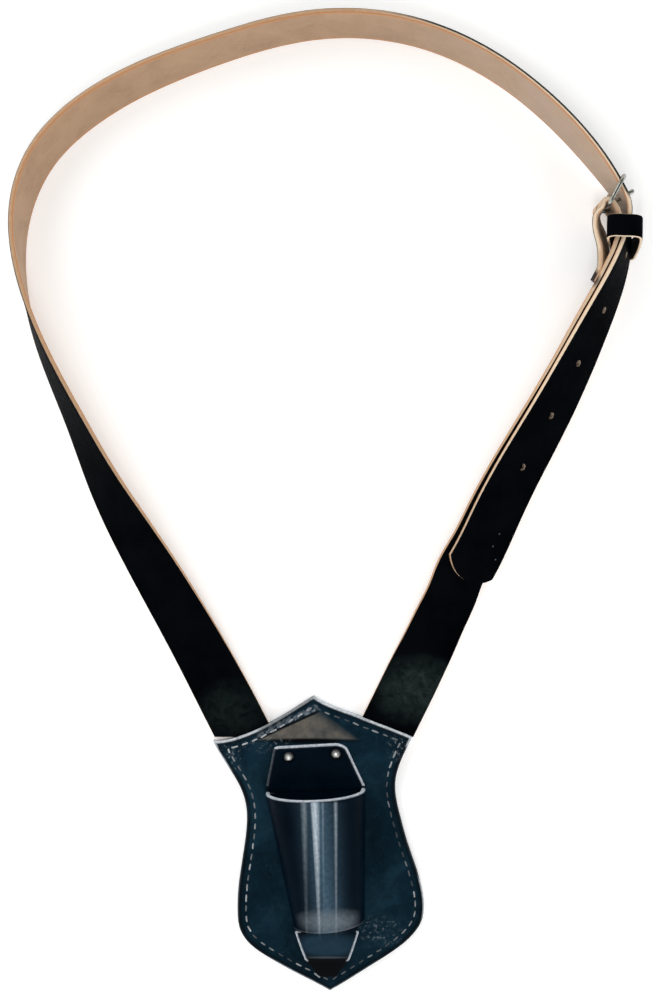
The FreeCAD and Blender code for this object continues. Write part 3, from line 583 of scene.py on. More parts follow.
def cup_leather():
    m = Mat("cup_leather", (0.002, 0.006, 0.010), 0.3, Specular_IOR_Level=0.012)
    nrm, fine, crease, slow = leather_bump(m, 0.75)
    uv = m.run()
    # stretch marks along the sleeve
    lines = m.noise(1.0, 5.0, 0.6, src=m._mul((12.0, 900.0, 1.0), uv))
    nrm = m.bump(lines, 0.30, 0.00035, nrm)
    dark = m.ramp(m.noise(30.0, 4.0, 0.6), [(0.25, (0.0004, 0.0020, 0.0050)), (0.75, (0.0012, 0.0055, 0.0110))])
    # painted highlight: the crown of the sleeve carries a blue-grey glow and bright streaks along it, painted into its
    # colour in place of reflections
    obj = m.split(m.co)
    raised = m.math('MULTIPLY', m.span(obj[2], 0.0185, 0.0235), m.beyond(0.0, -205.0, 0.0, -1.0, 2.0))
    fibres = m.span(lines, 0.30, 0.70, 0.70, 1.15)
    crown_highlight = m.math('MULTIPLY', m.streak(-5.5, -204.0, 1.0, -290.0, 0.0, 24.0, 0.85), raised)
    crown_highlight = m.math('POWER', crown_highlight, 2.1)
    mottle = m.span(m.noise(420.0, 4.0, 0.7), 0.35, 0.65, 0.72, 1.1)
    col = m.mix(m.math('MULTIPLY', crown_highlight, mottle, True), dark, (0.046, 0.086, 0.124))
    # painted highlight: a paler flare on the crown near the sleeve's end
    flare = m.math('MULTIPLY', m.math('MULTIPLY', m.patch(3.0, -289.0, 17.0, 6.5, 0.6), raised), m.math('MULTIPLY', mottle, 0.8))
    col = m.mix(flare, col, (0.125, 0.150, 0.172))
    fall = m.beyond(0.0, -262.0, 0.0, 1.0, 70.0)
    half = m.beyond(0.0, -238.0, 0.0, 1.0, 50.0)
    # painted highlights: the bright streaks along the crown
    for x0, x1, w0, w1, taper, fade, amount in ((-8.0, -4.9, 0.1, 3.6, 0.27, fall, 1.0), (-9.3, -6.0, 0.0, 1.5, 0.4, half, 0.5),
                                                (6.2, 6.7, 0.0, 1.7, 0.55, fall, 0.46), (-15.4, -13.6, 0.0, 2.8, 0.5, half, 0.34),
                                                (-2.6, -1.6, 0.1, 1.1, 0.5, half, 0.22)):
        f = m.math('MULTIPLY', m.math('MULTIPLY', m.streak(x0, -204.0, x1, -290.0, w0, w1, taper), fibres), raised)
        f = m.math('MULTIPLY', m.math('MULTIPLY', f, mottle), m.math('ADD', m.math('MULTIPLY', fade, 0.72), 0.28))
        col = m.mix(m.math('MULTIPLY', f, amount, True), col, (0.42, 0.49, 0.55))
    # painted light: the tongue's sloping face is a lighter teal where light falls on it, a pale line runs across its
    # bend, and painted shade darkens its flat end
    tongue_lit_face = m.math('MULTIPLY', m.patch(0.5, -307.5, 19.5, 9.6, 0.25), m.beyond(0.0, -297.5, 0.0, -1.0, 1.5))
    col = m.mix(m.math('MULTIPLY', tongue_lit_face, m.span(m.noise(70.0, 4.0, 0.6), 0.25, 0.75, 0.6, 1.0)), col, (0.0115, 0.0310, 0.0500))
    col = m.mix(m.math('MULTIPLY', m.patch(0.5, -317.6, 13.5, 0.9, 0.5), 0.5), col, (0.070, 0.078, 0.084))
    col = m.mix(m.beyond(0.0, -318.6, 0.0, -1.0, 1.2), col, (0.0030, 0.0036, 0.0042))
    raw = m.ramp(m.noise(700.0, 3.0, 0.6), [(0.3, (0.24, 0.27, 0.31)), (0.7, (0.52, 0.56, 0.61))])
    edge = m.attr("edge")
    worn = m.math('MULTIPLY', edge, m.span(m.noise(120.0, 4.0, 0.7), 0.22, 0.5, 0.6, 1.0))
    m.link(m.mix(worn, col, raw), "Base Color")
    m.link(m.span(crease, 0.2, 0.8, 0.25, 0.40), "Roughness")
    m.link(nrm, "Normal")
    return m.m


def strap_grain():
    m = Mat("strap_black_grain", (0.001, 0.0012, 0.002), 0.42, Specular_IOR_Level=0.004)
    nrm, fine, crease, slow = leather_bump(m, 0.9, 1700.0)
    uv = m.run()
    pull = m.noise(1.0, 4.0, 0.6, src=m._mul((60.0, 700.0, 1.0), uv))
    nrm = m.bump(pull, 0.15, 0.0003, nrm)
    col = m.ramp(m.noise(26.0, 4.0, 0.6), [(0.3, (0.0003, 0.0004, 0.0009)), (0.75, (0.0018, 0.0026, 0.0036))])
    scuff = m.span(m.noise(500.0, 5.0, 0.72), 0.62, 0.8, 0.0, 0.25)
    col = m.mix(scuff, col, (0.016, 0.020, 0.021))
    # painted sheen: greenish mottled light where the straps spread out flat above the shield
    sheen_mottle = m.span(m.noise(140.0, 6.0, 0.7, dist=0.6), 0.35, 0.70, 0.15, 1.0)
    for x, y, rx, ry, amount in ((64.0, -132.0, 24.0, 18.0, 0.85), (-66.0, -146.0, 18.0, 16.0, 0.35)):
        col = m.mix(m.math('MULTIPLY', m.patch(x, y, rx, ry, 0.5), m.math('MULTIPLY', sheen_mottle, amount)), col, (0.021, 0.034, 0.031))
    # worn through to the tan where the short strap turns round the bar
    worn = m.math('MULTIPLY', m.patch(186.0, 200.5, 7.5, 8.0, 0.25), m.span(m.noise(300.0, 4.0, 0.6), 0.25, 0.5, 0.75, 1.0))
    col = m.mix(worn, col, (0.50, 0.355, 0.235))
    m.link(col, "Base Color")
    m.link(m.span(crease, 0.2, 0.8, 0.38, 0.56), "Roughness")
    m.link(nrm, "Normal")
    return m.m


def strap_flesh():
    m = Mat("strap_tan_flesh", (0.42, 0.28, 0.17), 0.88, Specular_IOR_Level=0.2, Sheen_Weight=0.22,
            Sheen_Roughness=0.6)
    m.bsdf.inputs["Sheen Tint"].default_value = (1.0, 0.88, 0.74, 1)
    uv = m.run()
    fibre = m.noise(1.0, 6.0, 0.68, src=m._mul((220.0, 900.0, 1.0), uv), dist=0.8)
    blot = m.noise(46.0, 5.0, 0.6, dist=0.6)
    nap = m.noise(2600.0, 4.0, 0.75)
    col = m.ramp(blot, [(0.28, (0.226, 0.134, 0.074)), (0.5, (0.286, 0.175, 0.102)), (0.75, (0.338, 0.217, 0.133))])
    col = m.mix(m.span(fibre, 0.35, 0.75, 0.0, 0.45), col, (0.378, 0.250, 0.158))
    col = m.mix(m.span(nap, 0.55, 0.8, 0.0, 0.35), col, (0.183, 0.105, 0.058))
    x = m.split(uv)
    side = m.split(m.co)
    grey = m.math('MULTIPLY', m.span(side[0], 0.02, 0.15), m.span(m.noise(30.0, 4.0, 0.6), 0.3, 0.6, 0.35, 0.8))
    col = m.mix(grey, col, (0.305, 0.230, 0.178))
    speck = m.span(m.noise(700.0, 5.0, 0.75), 0.60, 0.74, 0.0, 0.5)
    col = m.mix(speck, col, (0.175, 0.105, 0.062))
    # burnished orange line next to both cut edges
    w = m.math('ABSOLUTE', m.math('SUBTRACT', x[1], 0.2))
    band = m.span(m.math('ADD', w, m.math('MULTIPLY', m.noise(120.0, 4.0, 0.7), 0.0012)), 0.0166, 0.0186, 0.0, 1.0)
    col = m.mix(m.math('MULTIPLY', band, 0.75), col, (0.42, 0.185, 0.070))
    # painted light: the flesh side inside the fold by the buckle is made paler, standing in for light that the deep
    # gap between the layers keeps off it
    col = m.mix(m.math('MULTIPLY', m.patch(191.0, 172.0, 12.0, 32.0, 0.3), 0.75), col, (0.66, 0.46, 0.31))
    m.link(col, "Base Color")
    b = m.bump(blot, 0.25, 0.0008)
    b = m.bump(fibre, 0.45, 0.0005, b)
    m.link(m.bump(nap, 0.6, 0.00022, b), "Normal")
    m.link(m.span(nap, 0.2, 0.8, 0.80, 0.95), "Roughness")
    return m.m


def strap_edge(name="strap_cut_edge", browner=0.0):
    m = Mat(name, (0.75, 0.62, 0.46), 0.62, Specular_IOR_Level=0.3)
    uv = m.run()
    x = m.split(uv)
    n = m.math('SUBTRACT', x[1], 0.1)      # across the thickness, metres
    fibre = m.noise(1.0, 5.0, 0.65, src=m._mul((260.0, 2600.0, 1.0), uv))
    cream = m.ramp(fibre, [(0.25, (0.50, 0.38, 0.26)), (0.55, (0.68, 0.55, 0.41)), (0.8, (0.78, 0.67, 0.53))])
    tan = m.ramp(fibre, [(0.25, (0.27, 0.155, 0.082)), (0.55, (0.41, 0.265, 0.158)), (0.8, (0.54, 0.385, 0.255))])
    obj = m.split(m.co)
    # cream beside the buckle, tan round the far side of the loop
    pale = m.math('SUBTRACT', m.span(obj[0], 0.02, 0.17), browner, True)
    if browner:
        pale = m.math('MAXIMUM', pale, m.patch(184.0, 190.0, 13.0, 24.0, 0.3))
    col = m.mix(pale, tan, cream)
    # dye has run a little over the grain side, the flesh side is burnished orange
    wave = m.math('MULTIPLY', m.noise(300.0, 3.0, 0.6), 0.0004)
    dye = m.span(m.math('ADD', n, wave), 0.00125, 0.00150)
    # dyed over half its thickness on the outer side of the loop before the buckle
    ledge = m.math('MULTIPLY', m.math('MULTIPLY', m.beyond(52.0, 0.0, 1.0, 0.0, 40.0), m.beyond(0.0, 206.0, 0.0, 1.0, 5.0)),
                   m.span(m.math('ADD', n, wave), 0.0001, 0.0005))
    if not browner:
        dye = m.math('MAXIMUM', dye, ledge)
    burn = m.span(n, -0.0006, -0.0013)
    col = m.mix(m.math('MULTIPLY', burn, 0.85), col, (0.43, 0.175, 0.062))
    col = m.mix(dye, col, (0.085, 0.040, 0.016) if browner else (0.012, 0.009, 0.008))
    if browner:
        col = m.mix(m.patch(180.6, 151.0, 4.5, 6.0, 0.3), col, (0.010, 0.008, 0.007))
    m.link(col, "Base Color")
    b = m.bump(fibre, 0.5, 0.00035)
    m.link(b, "Normal")
    m.link(m.span(fibre, 0.2, 0.8, 0.52, 0.75), "Roughness")
    return m.m


def hole_wall(name="punched_hole_wall", a=(0.30, 0.235, 0.175), b=(0.50, 0.42, 0.34)):
    m = Mat(name, a, 0.85, Specular_IOR_Level=0.2)
    m.link(m.ramp(m.noise(900.0, 4.0, 0.7), [(0.3, a), (0.7, b)]), "Base Color")
    m.link(m.bump(m.noise(1500.0, 3.0, 0.6), 0.4, 0.0001), "Normal")
    return m.m


def nickel(name="bright_nickel", rough=0.24, tone=(0.33, 0.34, 0.31), crown=False):
    m = Mat(name, tone, rough, 1.0)
    tarnish = m.noise(330.0, 5.0, 0.65)
    fine = m.noise(2200.0, 3.0, 0.6)
    col = m.mix(m.span(tarnish, 0.42, 0.66, 0.0, 0.8), tone, tuple(0.28 * c for c in tone))
    if crown:
        # the skirt of each dome is painted dark, standing in for the dark reflection round its highlight; the crown
        # keeps the bright metal
        top = m.math('MAXIMUM', m.patch(RIVET_AT[0][0], RIVET_AT[0][1], 1.9, 1.9, 0.35),
                     m.patch(RIVET_AT[1][0], RIVET_AT[1][1], 1.9, 1.9, 0.35))
        col = m.mix(top, (0.035, 0.036, 0.036), col)
    m.link(col, "Base Color")
    m.link(m.span(tarnish, 0.25, 0.75, rough * 0.7, rough * 1.7), "Roughness")
    m.link(m.bump(fine, 0.12, 0.00008, m.bump(tarnish, 0.12, 0.0002)), "Normal")
    return m.m


def thread():
    m = Mat("waxed_thread", (0.5, 0.5, 0.49), 0.6, Specular_IOR_Level=0.4, Sheen_Weight=0.2, Sheen_Roughness=0.5)
    uv = m.run()
    x = m.split(uv)
    ply = m.math('SINE', m.math('ADD', m.math('MULTIPLY', x[0], 5200.0), m.math('MULTIPLY', x[1], 6.283)))
    dirt = m.noise(160.0, 4.0, 0.7)
    lightness = m.attr("edge")
    col = m.ramp(dirt, [(0.3, (0.16, 0.175, 0.19)), (0.7, (0.46, 0.48, 0.50))])
    m.link(m.mix(lightness, (0.012, 0.020, 0.026), col), "Base Color")
    m.link(m.bump(ply, 0.6, 0.00016), "Normal")
    return m.m


M_PLATE, M_CUP, M_GRAIN, M_FLESH, M_EDGE = plate_leather(), cup_leather(), strap_grain(), strap_flesh(), strap_edge()
M_NICKEL, M_THREAD = nickel(), thread()
M_EDGE_SHORT = strap_edge("short_strap_cut_edge", 0.55)
M_HOLE = hole_wall()
M_INSIDE = hole_wall("keeper_dyed_inside", (0.0035, 0.0035, 0.004), (0.010, 0.009, 0.009))
M_SCAR = hole_wall("awl_mark", (0.10, 0.105, 0.11), (0.20, 0.21, 0.22))
M_RIVET = nickel("rivet_nickel", 0.30, (0.90, 0.90, 0.88), crown=True)


# ------------------------------------------------------------------------- straps
class Path:
    def __init__(self, rows, side):
        p = [(r[0], r[1], r[2]) for r in rows]
        self.par, _ = chord(p)
        self.mid = Spline(self.par, p)
        self.roll = Spline(self.par, [(r[3],) for r in rows])
        self.side = side

    def frame(self, u, lean=0.0):
        p = self.mid.at(u)
        t = self.mid.slope(u)
        t = np.array([t[0], t[1], 0.0])
        t /= np.linalg.norm(t)
        r = math.radians(self.roll.at(u)[0] + lean)
        out = np.array([-t[1], t[0], 0.0]) * self.side
        z = np.array([0, 0, 1.0])
        return p, t, -out * math.cos(r) + z * math.sin(r), out * math.sin(r) + z * math.cos(r)

    def stations(self, u0, u1, fine=0.6, coarse=2.4, bend=0.075):
        us, u = [u0], u0
        while u < u1 - 1e-6:
            _, t0, w0, _ = self.frame(u)
            _, t1, w1, _ = self.frame(min(u + 1.0, u1))
            turn = max(np.linalg.norm(t1 - t0), np.linalg.norm(w1 - w0), 1e-5)
            u = min(u + min(coarse, max(fine, bend / turn)), u1)
            us.append(u)
        return us


HALF = [19.0, 18.94, 18.72, 18.3, 17.5, 16.75, 16.3, 15.85, 15.2, 12.0, 8.0, 4.0]
TOPZ = [1.02, 1.32, 1.58, 1.71, 1.75, 1.72, 1.60, 1.72, 1.75, 1.77, 1.78, 1.79]
LOWZ = [-1.30, -1.50, -1.66, -1.74, -1.75, -1.75, -1.75, -1.75, -1.75, -1.75, -1.75, -1.75]
WS = [-a for a in HALF] + [0.0] + HALF[::-1]
TZ = TOPZ + [1.79] + TOPZ[::-1]
LZ = LOWZ + [-1.75] + LOWZ[::-1]


def strap(name, path, u0, u1, tip=False, seed=0.0, lean=None):
    us = path.stations(u0, u1)
    verts, rings = [], []
    m = len(WS)
    run = []
    for u in us:
        ring = []
        for k in range(2 * m + 2):
            if k < m:
                w, n = WS[k], TZ[k]
            elif k == m:
                w, n = 19.05, -0.15
            elif k <= 2 * m:
                j = 2 * m - k
                w, n = WS[j], LZ[j]
            else:
                w, n = -19.05, -0.15
            uu = u
            if tip:
                a = min(abs(w) / 19.6, 1.0)
                s = (u - (u1 - 24.0)) / 24.0
                if s > 0:
                    uu = (u1 - 24.0) + s * (24.0 - TIP_SAG * a ** 2.4)
            p, t, wd, nd = path.frame(uu, lean(uu) if lean else 0.0)
            q = p + wd * w + nd * n
            q = q + nd * (0.16 * bumps(*q, 45.0, seed)) * (1.0 if n > -1.6 else 0.6)
            q = q + wd * (0.14 * bumps(*q, 30.0, seed + 3.1)) * (w / 19.0)
            ring.append(len(verts))
            verts.append(tuple(q))
        rings.append(ring)
        run.append(u)
    faces, fm, uvs = [], [], []

    def across(k, which):
        if k == m or k == 2 * m + 1:
            return 0.1 - 0.00015
        if k < m:
            w, n = WS[k], TZ[k]
        else:
            w, n = WS[2 * m - k], LZ[2 * m - k]
        return {0: w / 1000.0, 1: 0.1 + n / 1000.0, 2: 0.2 + w / 1000.0}[which]
    size = 2 * m + 2
    for i in range(len(us) - 1):
        for k in range(size):
            k2 = (k + 1) % size
            if k < m - 1:
                which = 0 if 0 < k < m - 2 else 1
                if k in (0, m - 2):
                    which = 1
            elif k in (m - 1, m, 2 * m, 2 * m + 1):
                which = 1
            else:
                which = 2
            faces.append((rings[i][k], rings[i][k2], rings[i + 1][k2], rings[i + 1][k]))
            fm.append(which)
            a0, a1 = across(k, which), across(k2, which)
            uvs.append([(run[i] / 1000, a0), (run[i] / 1000, a1), (run[i + 1] / 1000, a1), (run[i + 1] / 1000, a0)])
    for i, rev in ((0, True), (len(us) - 1, False)):
        r = rings[i]
        for k in range(m - 1):
            f = [r[k], r[k + 1], r[2 * m - (k + 1)], r[2 * m - k]]
            c = [(WS[k], TZ[k]), (WS[k + 1], TZ[k + 1]), (WS[k + 1], LZ[k + 1]), (WS[k], LZ[k])]
            if k == 0:
                f.append(r[2 * m + 1])
                c.append((-19.05, -0.15))
            if k == m - 2:
                f = [f[0], f[1], r[m], f[2], f[3]]
                c = [c[0], c[1], (19.05, -0.15), c[2], c[3]]
            if rev:
                f, c = f[::-1], c[::-1]
            faces.append(tuple(f))
            fm.append(1)
            uvs.append([(run[i] / 1000 + w / 1000, 0.1 + n / 1000) for w, n in c])
    return verts, faces, fm, uvs


long_path, short_path = Path(LONG_PATH, 1), Path(SHORT_PATH, -1)


def ring_points():
    """Shield outline, counter-clockwise or clockwise as drawn, dense."""
    pts = []
    for side in (SIDE_TOP_RIGHT, SIDE_RIGHT, SIDE_LEFT, SIDE_TOP_LEFT):
        q = through([(x, y) for x, y in side], 1.1)
        pts += [tuple(p) for p in q[:-1]]
    return np.array(pts)


OUT = ring_points()
if sum(OUT[i][0] * OUT[(i + 1) % len(OUT)][1] - OUT[(i + 1) % len(OUT)][0] * OUT[i][1] for i in range(len(OUT))) < 0:
    OUT = OUT[::-1]


def plate_prism(poly, z0, z1, mat):
    n = len(poly)
    vs = [(x, y, z0) for x, y in poly] + [(x, y, z1) for x, y in poly]
    faces = [(i, (i + 1) % n, n + (i + 1) % n, n + i) for i in range(n)]
    faces += [tuple(range(n))[::-1], tuple(range(n, 2 * n))]
    return make("cutter", vs, faces, [mat], body=None)


def trim_tool():
    """What the sewn-in strap ends lose: everything just outside the shield."""
    slab = plate_prism([(-110, -228.5), (110, -228.5), (110, -165), (-110, -165)], -10.0, 20.0, M_EDGE)
    carve(slab, [plate_prism(inside(OUT, 0.8), -20.0, 30.0, M_EDGE)])
    return slab


def inside(poly, d):
    """The outline moved inwards by d."""
    p = np.asarray(poly, float)
    nxt, prv = np.roll(p, -1, 0), np.roll(p, 1, 0)
    t = nxt - prv
    t /= np.linalg.norm(t, axis=1)[:, None]
    q = p + np.c_[-t[:, 1], t[:, 0]] * d
    keep = [i for i in range(len(q)) if np.min(np.hypot(*(p - q[i]).T)) > d - 0.06 - 0.012 * d]
    return q[keep]


def holes_in(path):
    us = np.linspace(0, path.par[-1], 2400)
    pts = np.array([path.mid.at(u) for u in us])
    i0 = int(np.argmin(np.linalg.norm(pts - np.array([203.2, 207.7, 24.0]), axis=1)))
    run = np.r_[0, np.cumsum(np.linalg.norm(np.diff(pts, axis=0), axis=1))]
    return [us[int(np.searchsorted(run, run[i0] + HOLE_PITCH * k))] for k in range(HOLE_COUNT)]


v, f, fm, uv = strap("long", long_path, 0.5, long_path.par[-1], tip=True, seed=1.7)
long_strap = make("long_strap_leather", v, f, [M_GRAIN, M_EDGE, M_FLESH], fm, uv, sharp=50, body=None)
tools = []
for k, u in enumerate(holes_in(long_path)):
    p, t, wd, nd = long_path.frame(u)
    tools.append(cylinder(p, nd, HOLE_D / 2 + (0.1 if k == 0 else 0.0), 9.0, M_HOLE,
                          stretch=t if k == 0 else None))
# three fine awl marks near the rounded tip


def on_grain(path, x, y, u0, u1):
    """Run and offset across of the grain-side point that covers plan point x, y seen from far above."""
    best = None
    for u in np.linspace(u0, u1, 90):
        p, t, wd, nd = path.frame(u)
        for w in np.linspace(-15, 15, 61):
            q = p + wd * w + nd * 1.75
            k = 1200.0 / (1200.0 - q[2])
            e = math.hypot(q[0] * k - x, q[1] * k - y)
            if best is None or e < best[0]:
                best = (e, q, nd)
    return best


for x, y in ((121.4, -23.5), (116.8, -32.1), (118.2, -41.8)):
    e, q, nd = on_grain(long_path, x, y, long_path.par[-1] - 75.0, long_path.par[-1] - 4.0)
    tools.append(cylinder(q, nd, 0.62, 0.9, M_SCAR, seg=20))
tools.append(trim_tool())
carve(long_strap, tools, sharp=50)
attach(long_strap, "sling")
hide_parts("long_strap")

us_ = np.linspace(0, short_path.par[-1], 1500)
u_bar = us_[int(np.argmin([np.hypot(*(short_path.mid.at(u)[:2] - np.array(HEEL[:2]))) for u in us_]))]


def fold_lean(u):
    """The fold leans outwards a little just past the bar, in degrees."""
    return 7.0 * float(smooth01(u_bar + 1.0, u_bar + 9.0, u)) * (1.0 - float(smooth01(u_bar + 14.0, u_bar + 30.0, u)))


v, f, fm, uv = strap("short", short_path, 0.5, short_path.par[-1], seed=8.3, lean=fold_lean)
short_strap = make("short_strap_leather", v, f, [M_GRAIN, M_EDGE_SHORT, M_FLESH], fm, uv, sharp=50, body=None)
carve(short_strap, [cylinder((HEEL[0], HEEL[1], PRONG_Z), (0, 0, 1), 7.5, 6.4, M_HOLE, seg=48), trim_tool()], sharp=50)
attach(short_strap, "sling")
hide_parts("short_strap")


# ------------------------------------------------------------------------ plates
RAMP_A, RAMP_B = -180.0, -206.0


def front_base(y):
    if y >= RAMP_A:
        return PLATE_T + STRAP_T
    if y <= RAMP_B:
        return PLATE_T
    k = (RAMP_A - y) / (RAMP_A - RAMP_B)
    return PLATE_T + STRAP_T * (0.5 + 0.5 * math.cos(math.pi * k))


def sheet_points(poly, rings, grid, extra=()):
    p = np.asarray(poly, float)
    pts = [tuple(q) for q in p]
    for d in rings:
        pts += [tuple(q) for q in inside(p, d)]
    lo, hi = p.min(0), p.max(0)
    last = rings[-1] + grid * 0.6 if rings else grid * 0.6
    n = len(p)
    for i, y in enumerate(np.arange(lo[1], hi[1], grid * 0.87)):
        for x in np.arange(lo[0] + (grid / 2 if i % 2 else 0), hi[0], grid):
            if within(p, x, y) and np.min(np.hypot(p[:, 0] - x, p[:, 1] - y)) > last:
                pts.append((x, y))
    pts += list(extra)
    return pts, n


def within(p, x, y):
    x0, y0 = p[:, 0], p[:, 1]
    x1, y1 = np.roll(x0, -1), np.roll(y0, -1)
    c = ((y0 > y) != (y1 > y)) & (x < (x1 - x0) * (y - y0) / (y1 - y0 + 1e-12) + x0)
    return bool(np.count_nonzero(c) % 2)


def slab(poly, rings, grid, top, low, extra=(), edge=None):
    """Closed leather piece cut to poly; top and low give heights from x, y and the distance to the edge."""
    pts, n = sheet_points(poly, rings, grid, extra)
    co, _, tris, ov, _, _ = delaunay_2d_cdt([Vector(q) for q in pts], [], [list(range(n))], 1, 1e-4, True)
    co = [tuple(c) for c in co]
    ring = np.asarray(poly, float)
    tris = [t for t in tris if within(ring, sum(co[i][0] for i in t) / 3, sum(co[i][1] for i in t) / 3)]
    back = {}
    for i, src in enumerate(ov):
        for s in src:
            back[s] = i
    p = np.asarray(poly, float)
    q = np.array(co)
    seg = np.roll(p, -1, 0) - p
    l2 = (seg ** 2).sum(1) + 1e-12
    dist = np.empty(len(q))
    for i in range(len(q)):
        r = q[i] - p
        k = np.clip((r * seg).sum(1) / l2, 0, 1)
        dist[i] = np.min(np.hypot(*(r - seg * k[:, None]).T))
    m = len(co)
    vs = [(x, y, top(x, y, dist[i])) for i, (x, y) in enumerate(co)]
    vs += [(x, y, low(x, y, dist[i])) for i, (x, y) in enumerate(co)]
    faces = [tuple(t) for t in tris] + [tuple(j + m for j in t[::-1]) for t in tris]
    loop = [back[i] for i in range(n)]
    clean = [a for k, a in enumerate(loop) if a != loop[k - 1]]
    for a, b in zip(clean, clean[1:] + clean[:1]):
        faces.append((a, b, b + m, a + m))
    ed = [float(edge(x, y, dist[i], True)) for i, (x, y) in enumerate(co)] if edge else [0.0] * m
    ed += [float(edge(x, y, dist[i], False)) for i, (x, y) in enumerate(co)] if edge else [0.0] * m
    return vs, faces, ed


def round_off(d, r):
    """Drop of a rounded edge of radius r at distance d."""
    if d >= r:
        return 0.0
    return r - math.sqrt(max(r * r - (r - d) ** 2, 0.0))


def strap_under(x, y):
    """1 where a strap lies between the layers, 0 where nothing does."""
    best = 0.0
    for (px, py), (dx, dy) in ((( -61.4, -155.7), (0.459, -0.889)), ((48.1, -147.3), (-0.441, -0.898))):
        rx, ry = x - px, y - py
        across = abs(rx * dy - ry * dx)
        along = rx * dx + ry * dy
        best = max(best, float(1 - smooth01(17.5, 23.0, across)) * float(1 - smooth01(26.0, 38.0, along)))
    return best


def front_top(x, y, d):
    z = front_base(y) + PLATE_T
    hollow = float(smooth01(-170.5, -158.0, y)) * (1.0 - strap_under(x, y))
    z -= 1.7 * hollow
    z -= 0.42 * math.exp(-((d - STITCH_INSET) / 0.95) ** 2)
    z += 0.10 * bumps(x, y, 0, 26.0, 2.0) - 0.08
    z += 0.14 * float(smooth01(7.0, 16.0, d)) - 0.06
    return z


def front_surface(x, y, d):
    return front_top(x, y, d) - round_off(d, 1.3)


def front_low(x, y, d):
    z = front_base(y)
    hollow = float(smooth01(-170.5, -158.0, y)) * (1.0 - strap_under(x, y))
    return z - 1.6 * hollow + round_off(d, 0.5)


def along_edge(x, y):
    """How pale the raw edge is round the shield: partly the cut edge's own paler colour, partly a painted highlight
    that makes it brightest along the top edges and faint elsewhere.
    """
    top = float(smooth01(-174.0, -168.0, y))
    mid = float(smooth01(-50.0, -44.0, x) * (1 - smooth01(-12.0, -4.0, x)))
    f = top * (0.92 - 0.55 * mid)
    f = max(f, 0.7 * float((1 - smooth01(-56.0, -50.0, x)) * smooth01(-192.0, -182.0, y)))
    f = max(f, 0.55 * float(smooth01(42.0, 52.0, x) * smooth01(-296.0, -286.0, y) * (1 - smooth01(-268.0, -258.0, y))))
    f = max(f, 0.5 * float((1 - smooth01(-326.0, -316.0, y)) * (1 - 0.6 * smooth01(2.0, 14.0, x))))
    return max(f, 0.04 + 0.10 * max(0.0, bumps(x, y, 0, 24.0, 9.0)))


def plate_edge(x, y, d, upper):
    f = 1.0 - float(smooth01(0.9, 1.9 if y > -172 else 1.0, d))
    return f * along_edge(x, y) * (1.0 if upper else 0.8)


RINGS = [0.12, 0.35, 0.7, 1.2, 1.8, 2.7, 3.8, 4.7, 5.3, 5.7, 6.0, 6.3, 6.7, 7.4, 8.6, 10.5]
round_rivets = [(x + r * math.cos(a), y + r * math.sin(a)) for x, y in RIVET_AT
                for r in (3.3, 4.0, 4.2, 4.9) for a in np.linspace(0, 2 * math.pi, 37)[:-1]]
def border(verts):
    """1 next to the shield's outline, 0 from 5 mm inwards."""
    seg = np.roll(OUT, -1, 0) - OUT
    l2 = (seg ** 2).sum(1) + 1e-12
    out = []
    for q in verts:
        r = np.array(q[:2]) - OUT
        k = np.clip((r * seg).sum(1) / l2, 0, 1)
        out.append(1.0 - float(smooth01(1.6, 4.6, np.min(np.hypot(*(r - seg * k[:, None]).T)))))
    return out


v, f, e = slab(OUT, RINGS, 3.0, front_surface, front_low, edge=plate_edge)
make("shield_front_leather", v, f, [M_PLATE], attrs={"edge": e, "rim": border(v)}, sharp=48, replaces=["shield_front_plate"],
     slot="plate_leather")


def back_top(x, y, d):
    return PLATE_T - round_off(d, 0.4) - 0.02


def back_low(x, y, d):
    z = 0.0 + round_off(d, 0.8) + 0.55 * math.exp(-((d - STITCH_INSET) / 0.95) ** 2)
    r = min(math.hypot(x - a, y - b) for a, b in RIVET_AT)
    if r < 4.1:
        z = max(z, 1.15)
    return z


v, f, e = slab(OUT, RINGS, 3.0, back_top, back_low, extra=round_rivets, edge=plate_edge)
make("shield_back_leather", v, f, [M_PLATE], attrs={"edge": e, "rim": border(v)}, sharp=48, replaces=["shield_back_plate"],
     slot="plate_leather")

# --------------------------------------------------------------------- stitching
line = inside(OUT, STITCH_INSET)
run_len = np.r_[0, np.cumsum(np.linalg.norm(np.diff(np.vstack([line, line[:1]]), axis=0), axis=1))]


def on_line(s):
    s = s % run_len[-1]
    i = min(int(np.searchsorted(run_len, s, side='right')) - 1, len(line) - 1)
    a, b = line[i], line[(i + 1) % len(line)]
    return a + (b - a) * ((s - run_len[i]) / max(run_len[i + 1] - run_len[i], 1e-9))


def tongue_top(x, y):
    """Upper surface of the tongue's sewn-down end, where the thread crosses it."""
    if -331.8 < y < -318.0 and abs(x - 0.4) < 6.0 + (y + 331.5) * 0.55 + 1.5:
        return tongue_z(y) + TONGUE_T
    return -1.0


TP = through([(a, b) for a, b in TONGUE_SIDE], 0.5)
TP = np.array(sorted([(float(a), float(b)) for a, b in zip(
    np.convolve(np.pad(TP[:, 0], 4, mode='edge'), np.ones(9) / 9, 'valid'),
    np.convolve(np.pad(np.interp(TP[:, 0][::-1], [q[0] for q in TONGUE_SIDE][::-1], [q[1] for q in TONGUE_SIDE][::-1])[::-1], 4, mode='edge'), np.ones(9) / 9, 'valid'))]))


def tongue_z(y):
    return float(np.interp(y, TP[:, 0], TP[:, 1]))


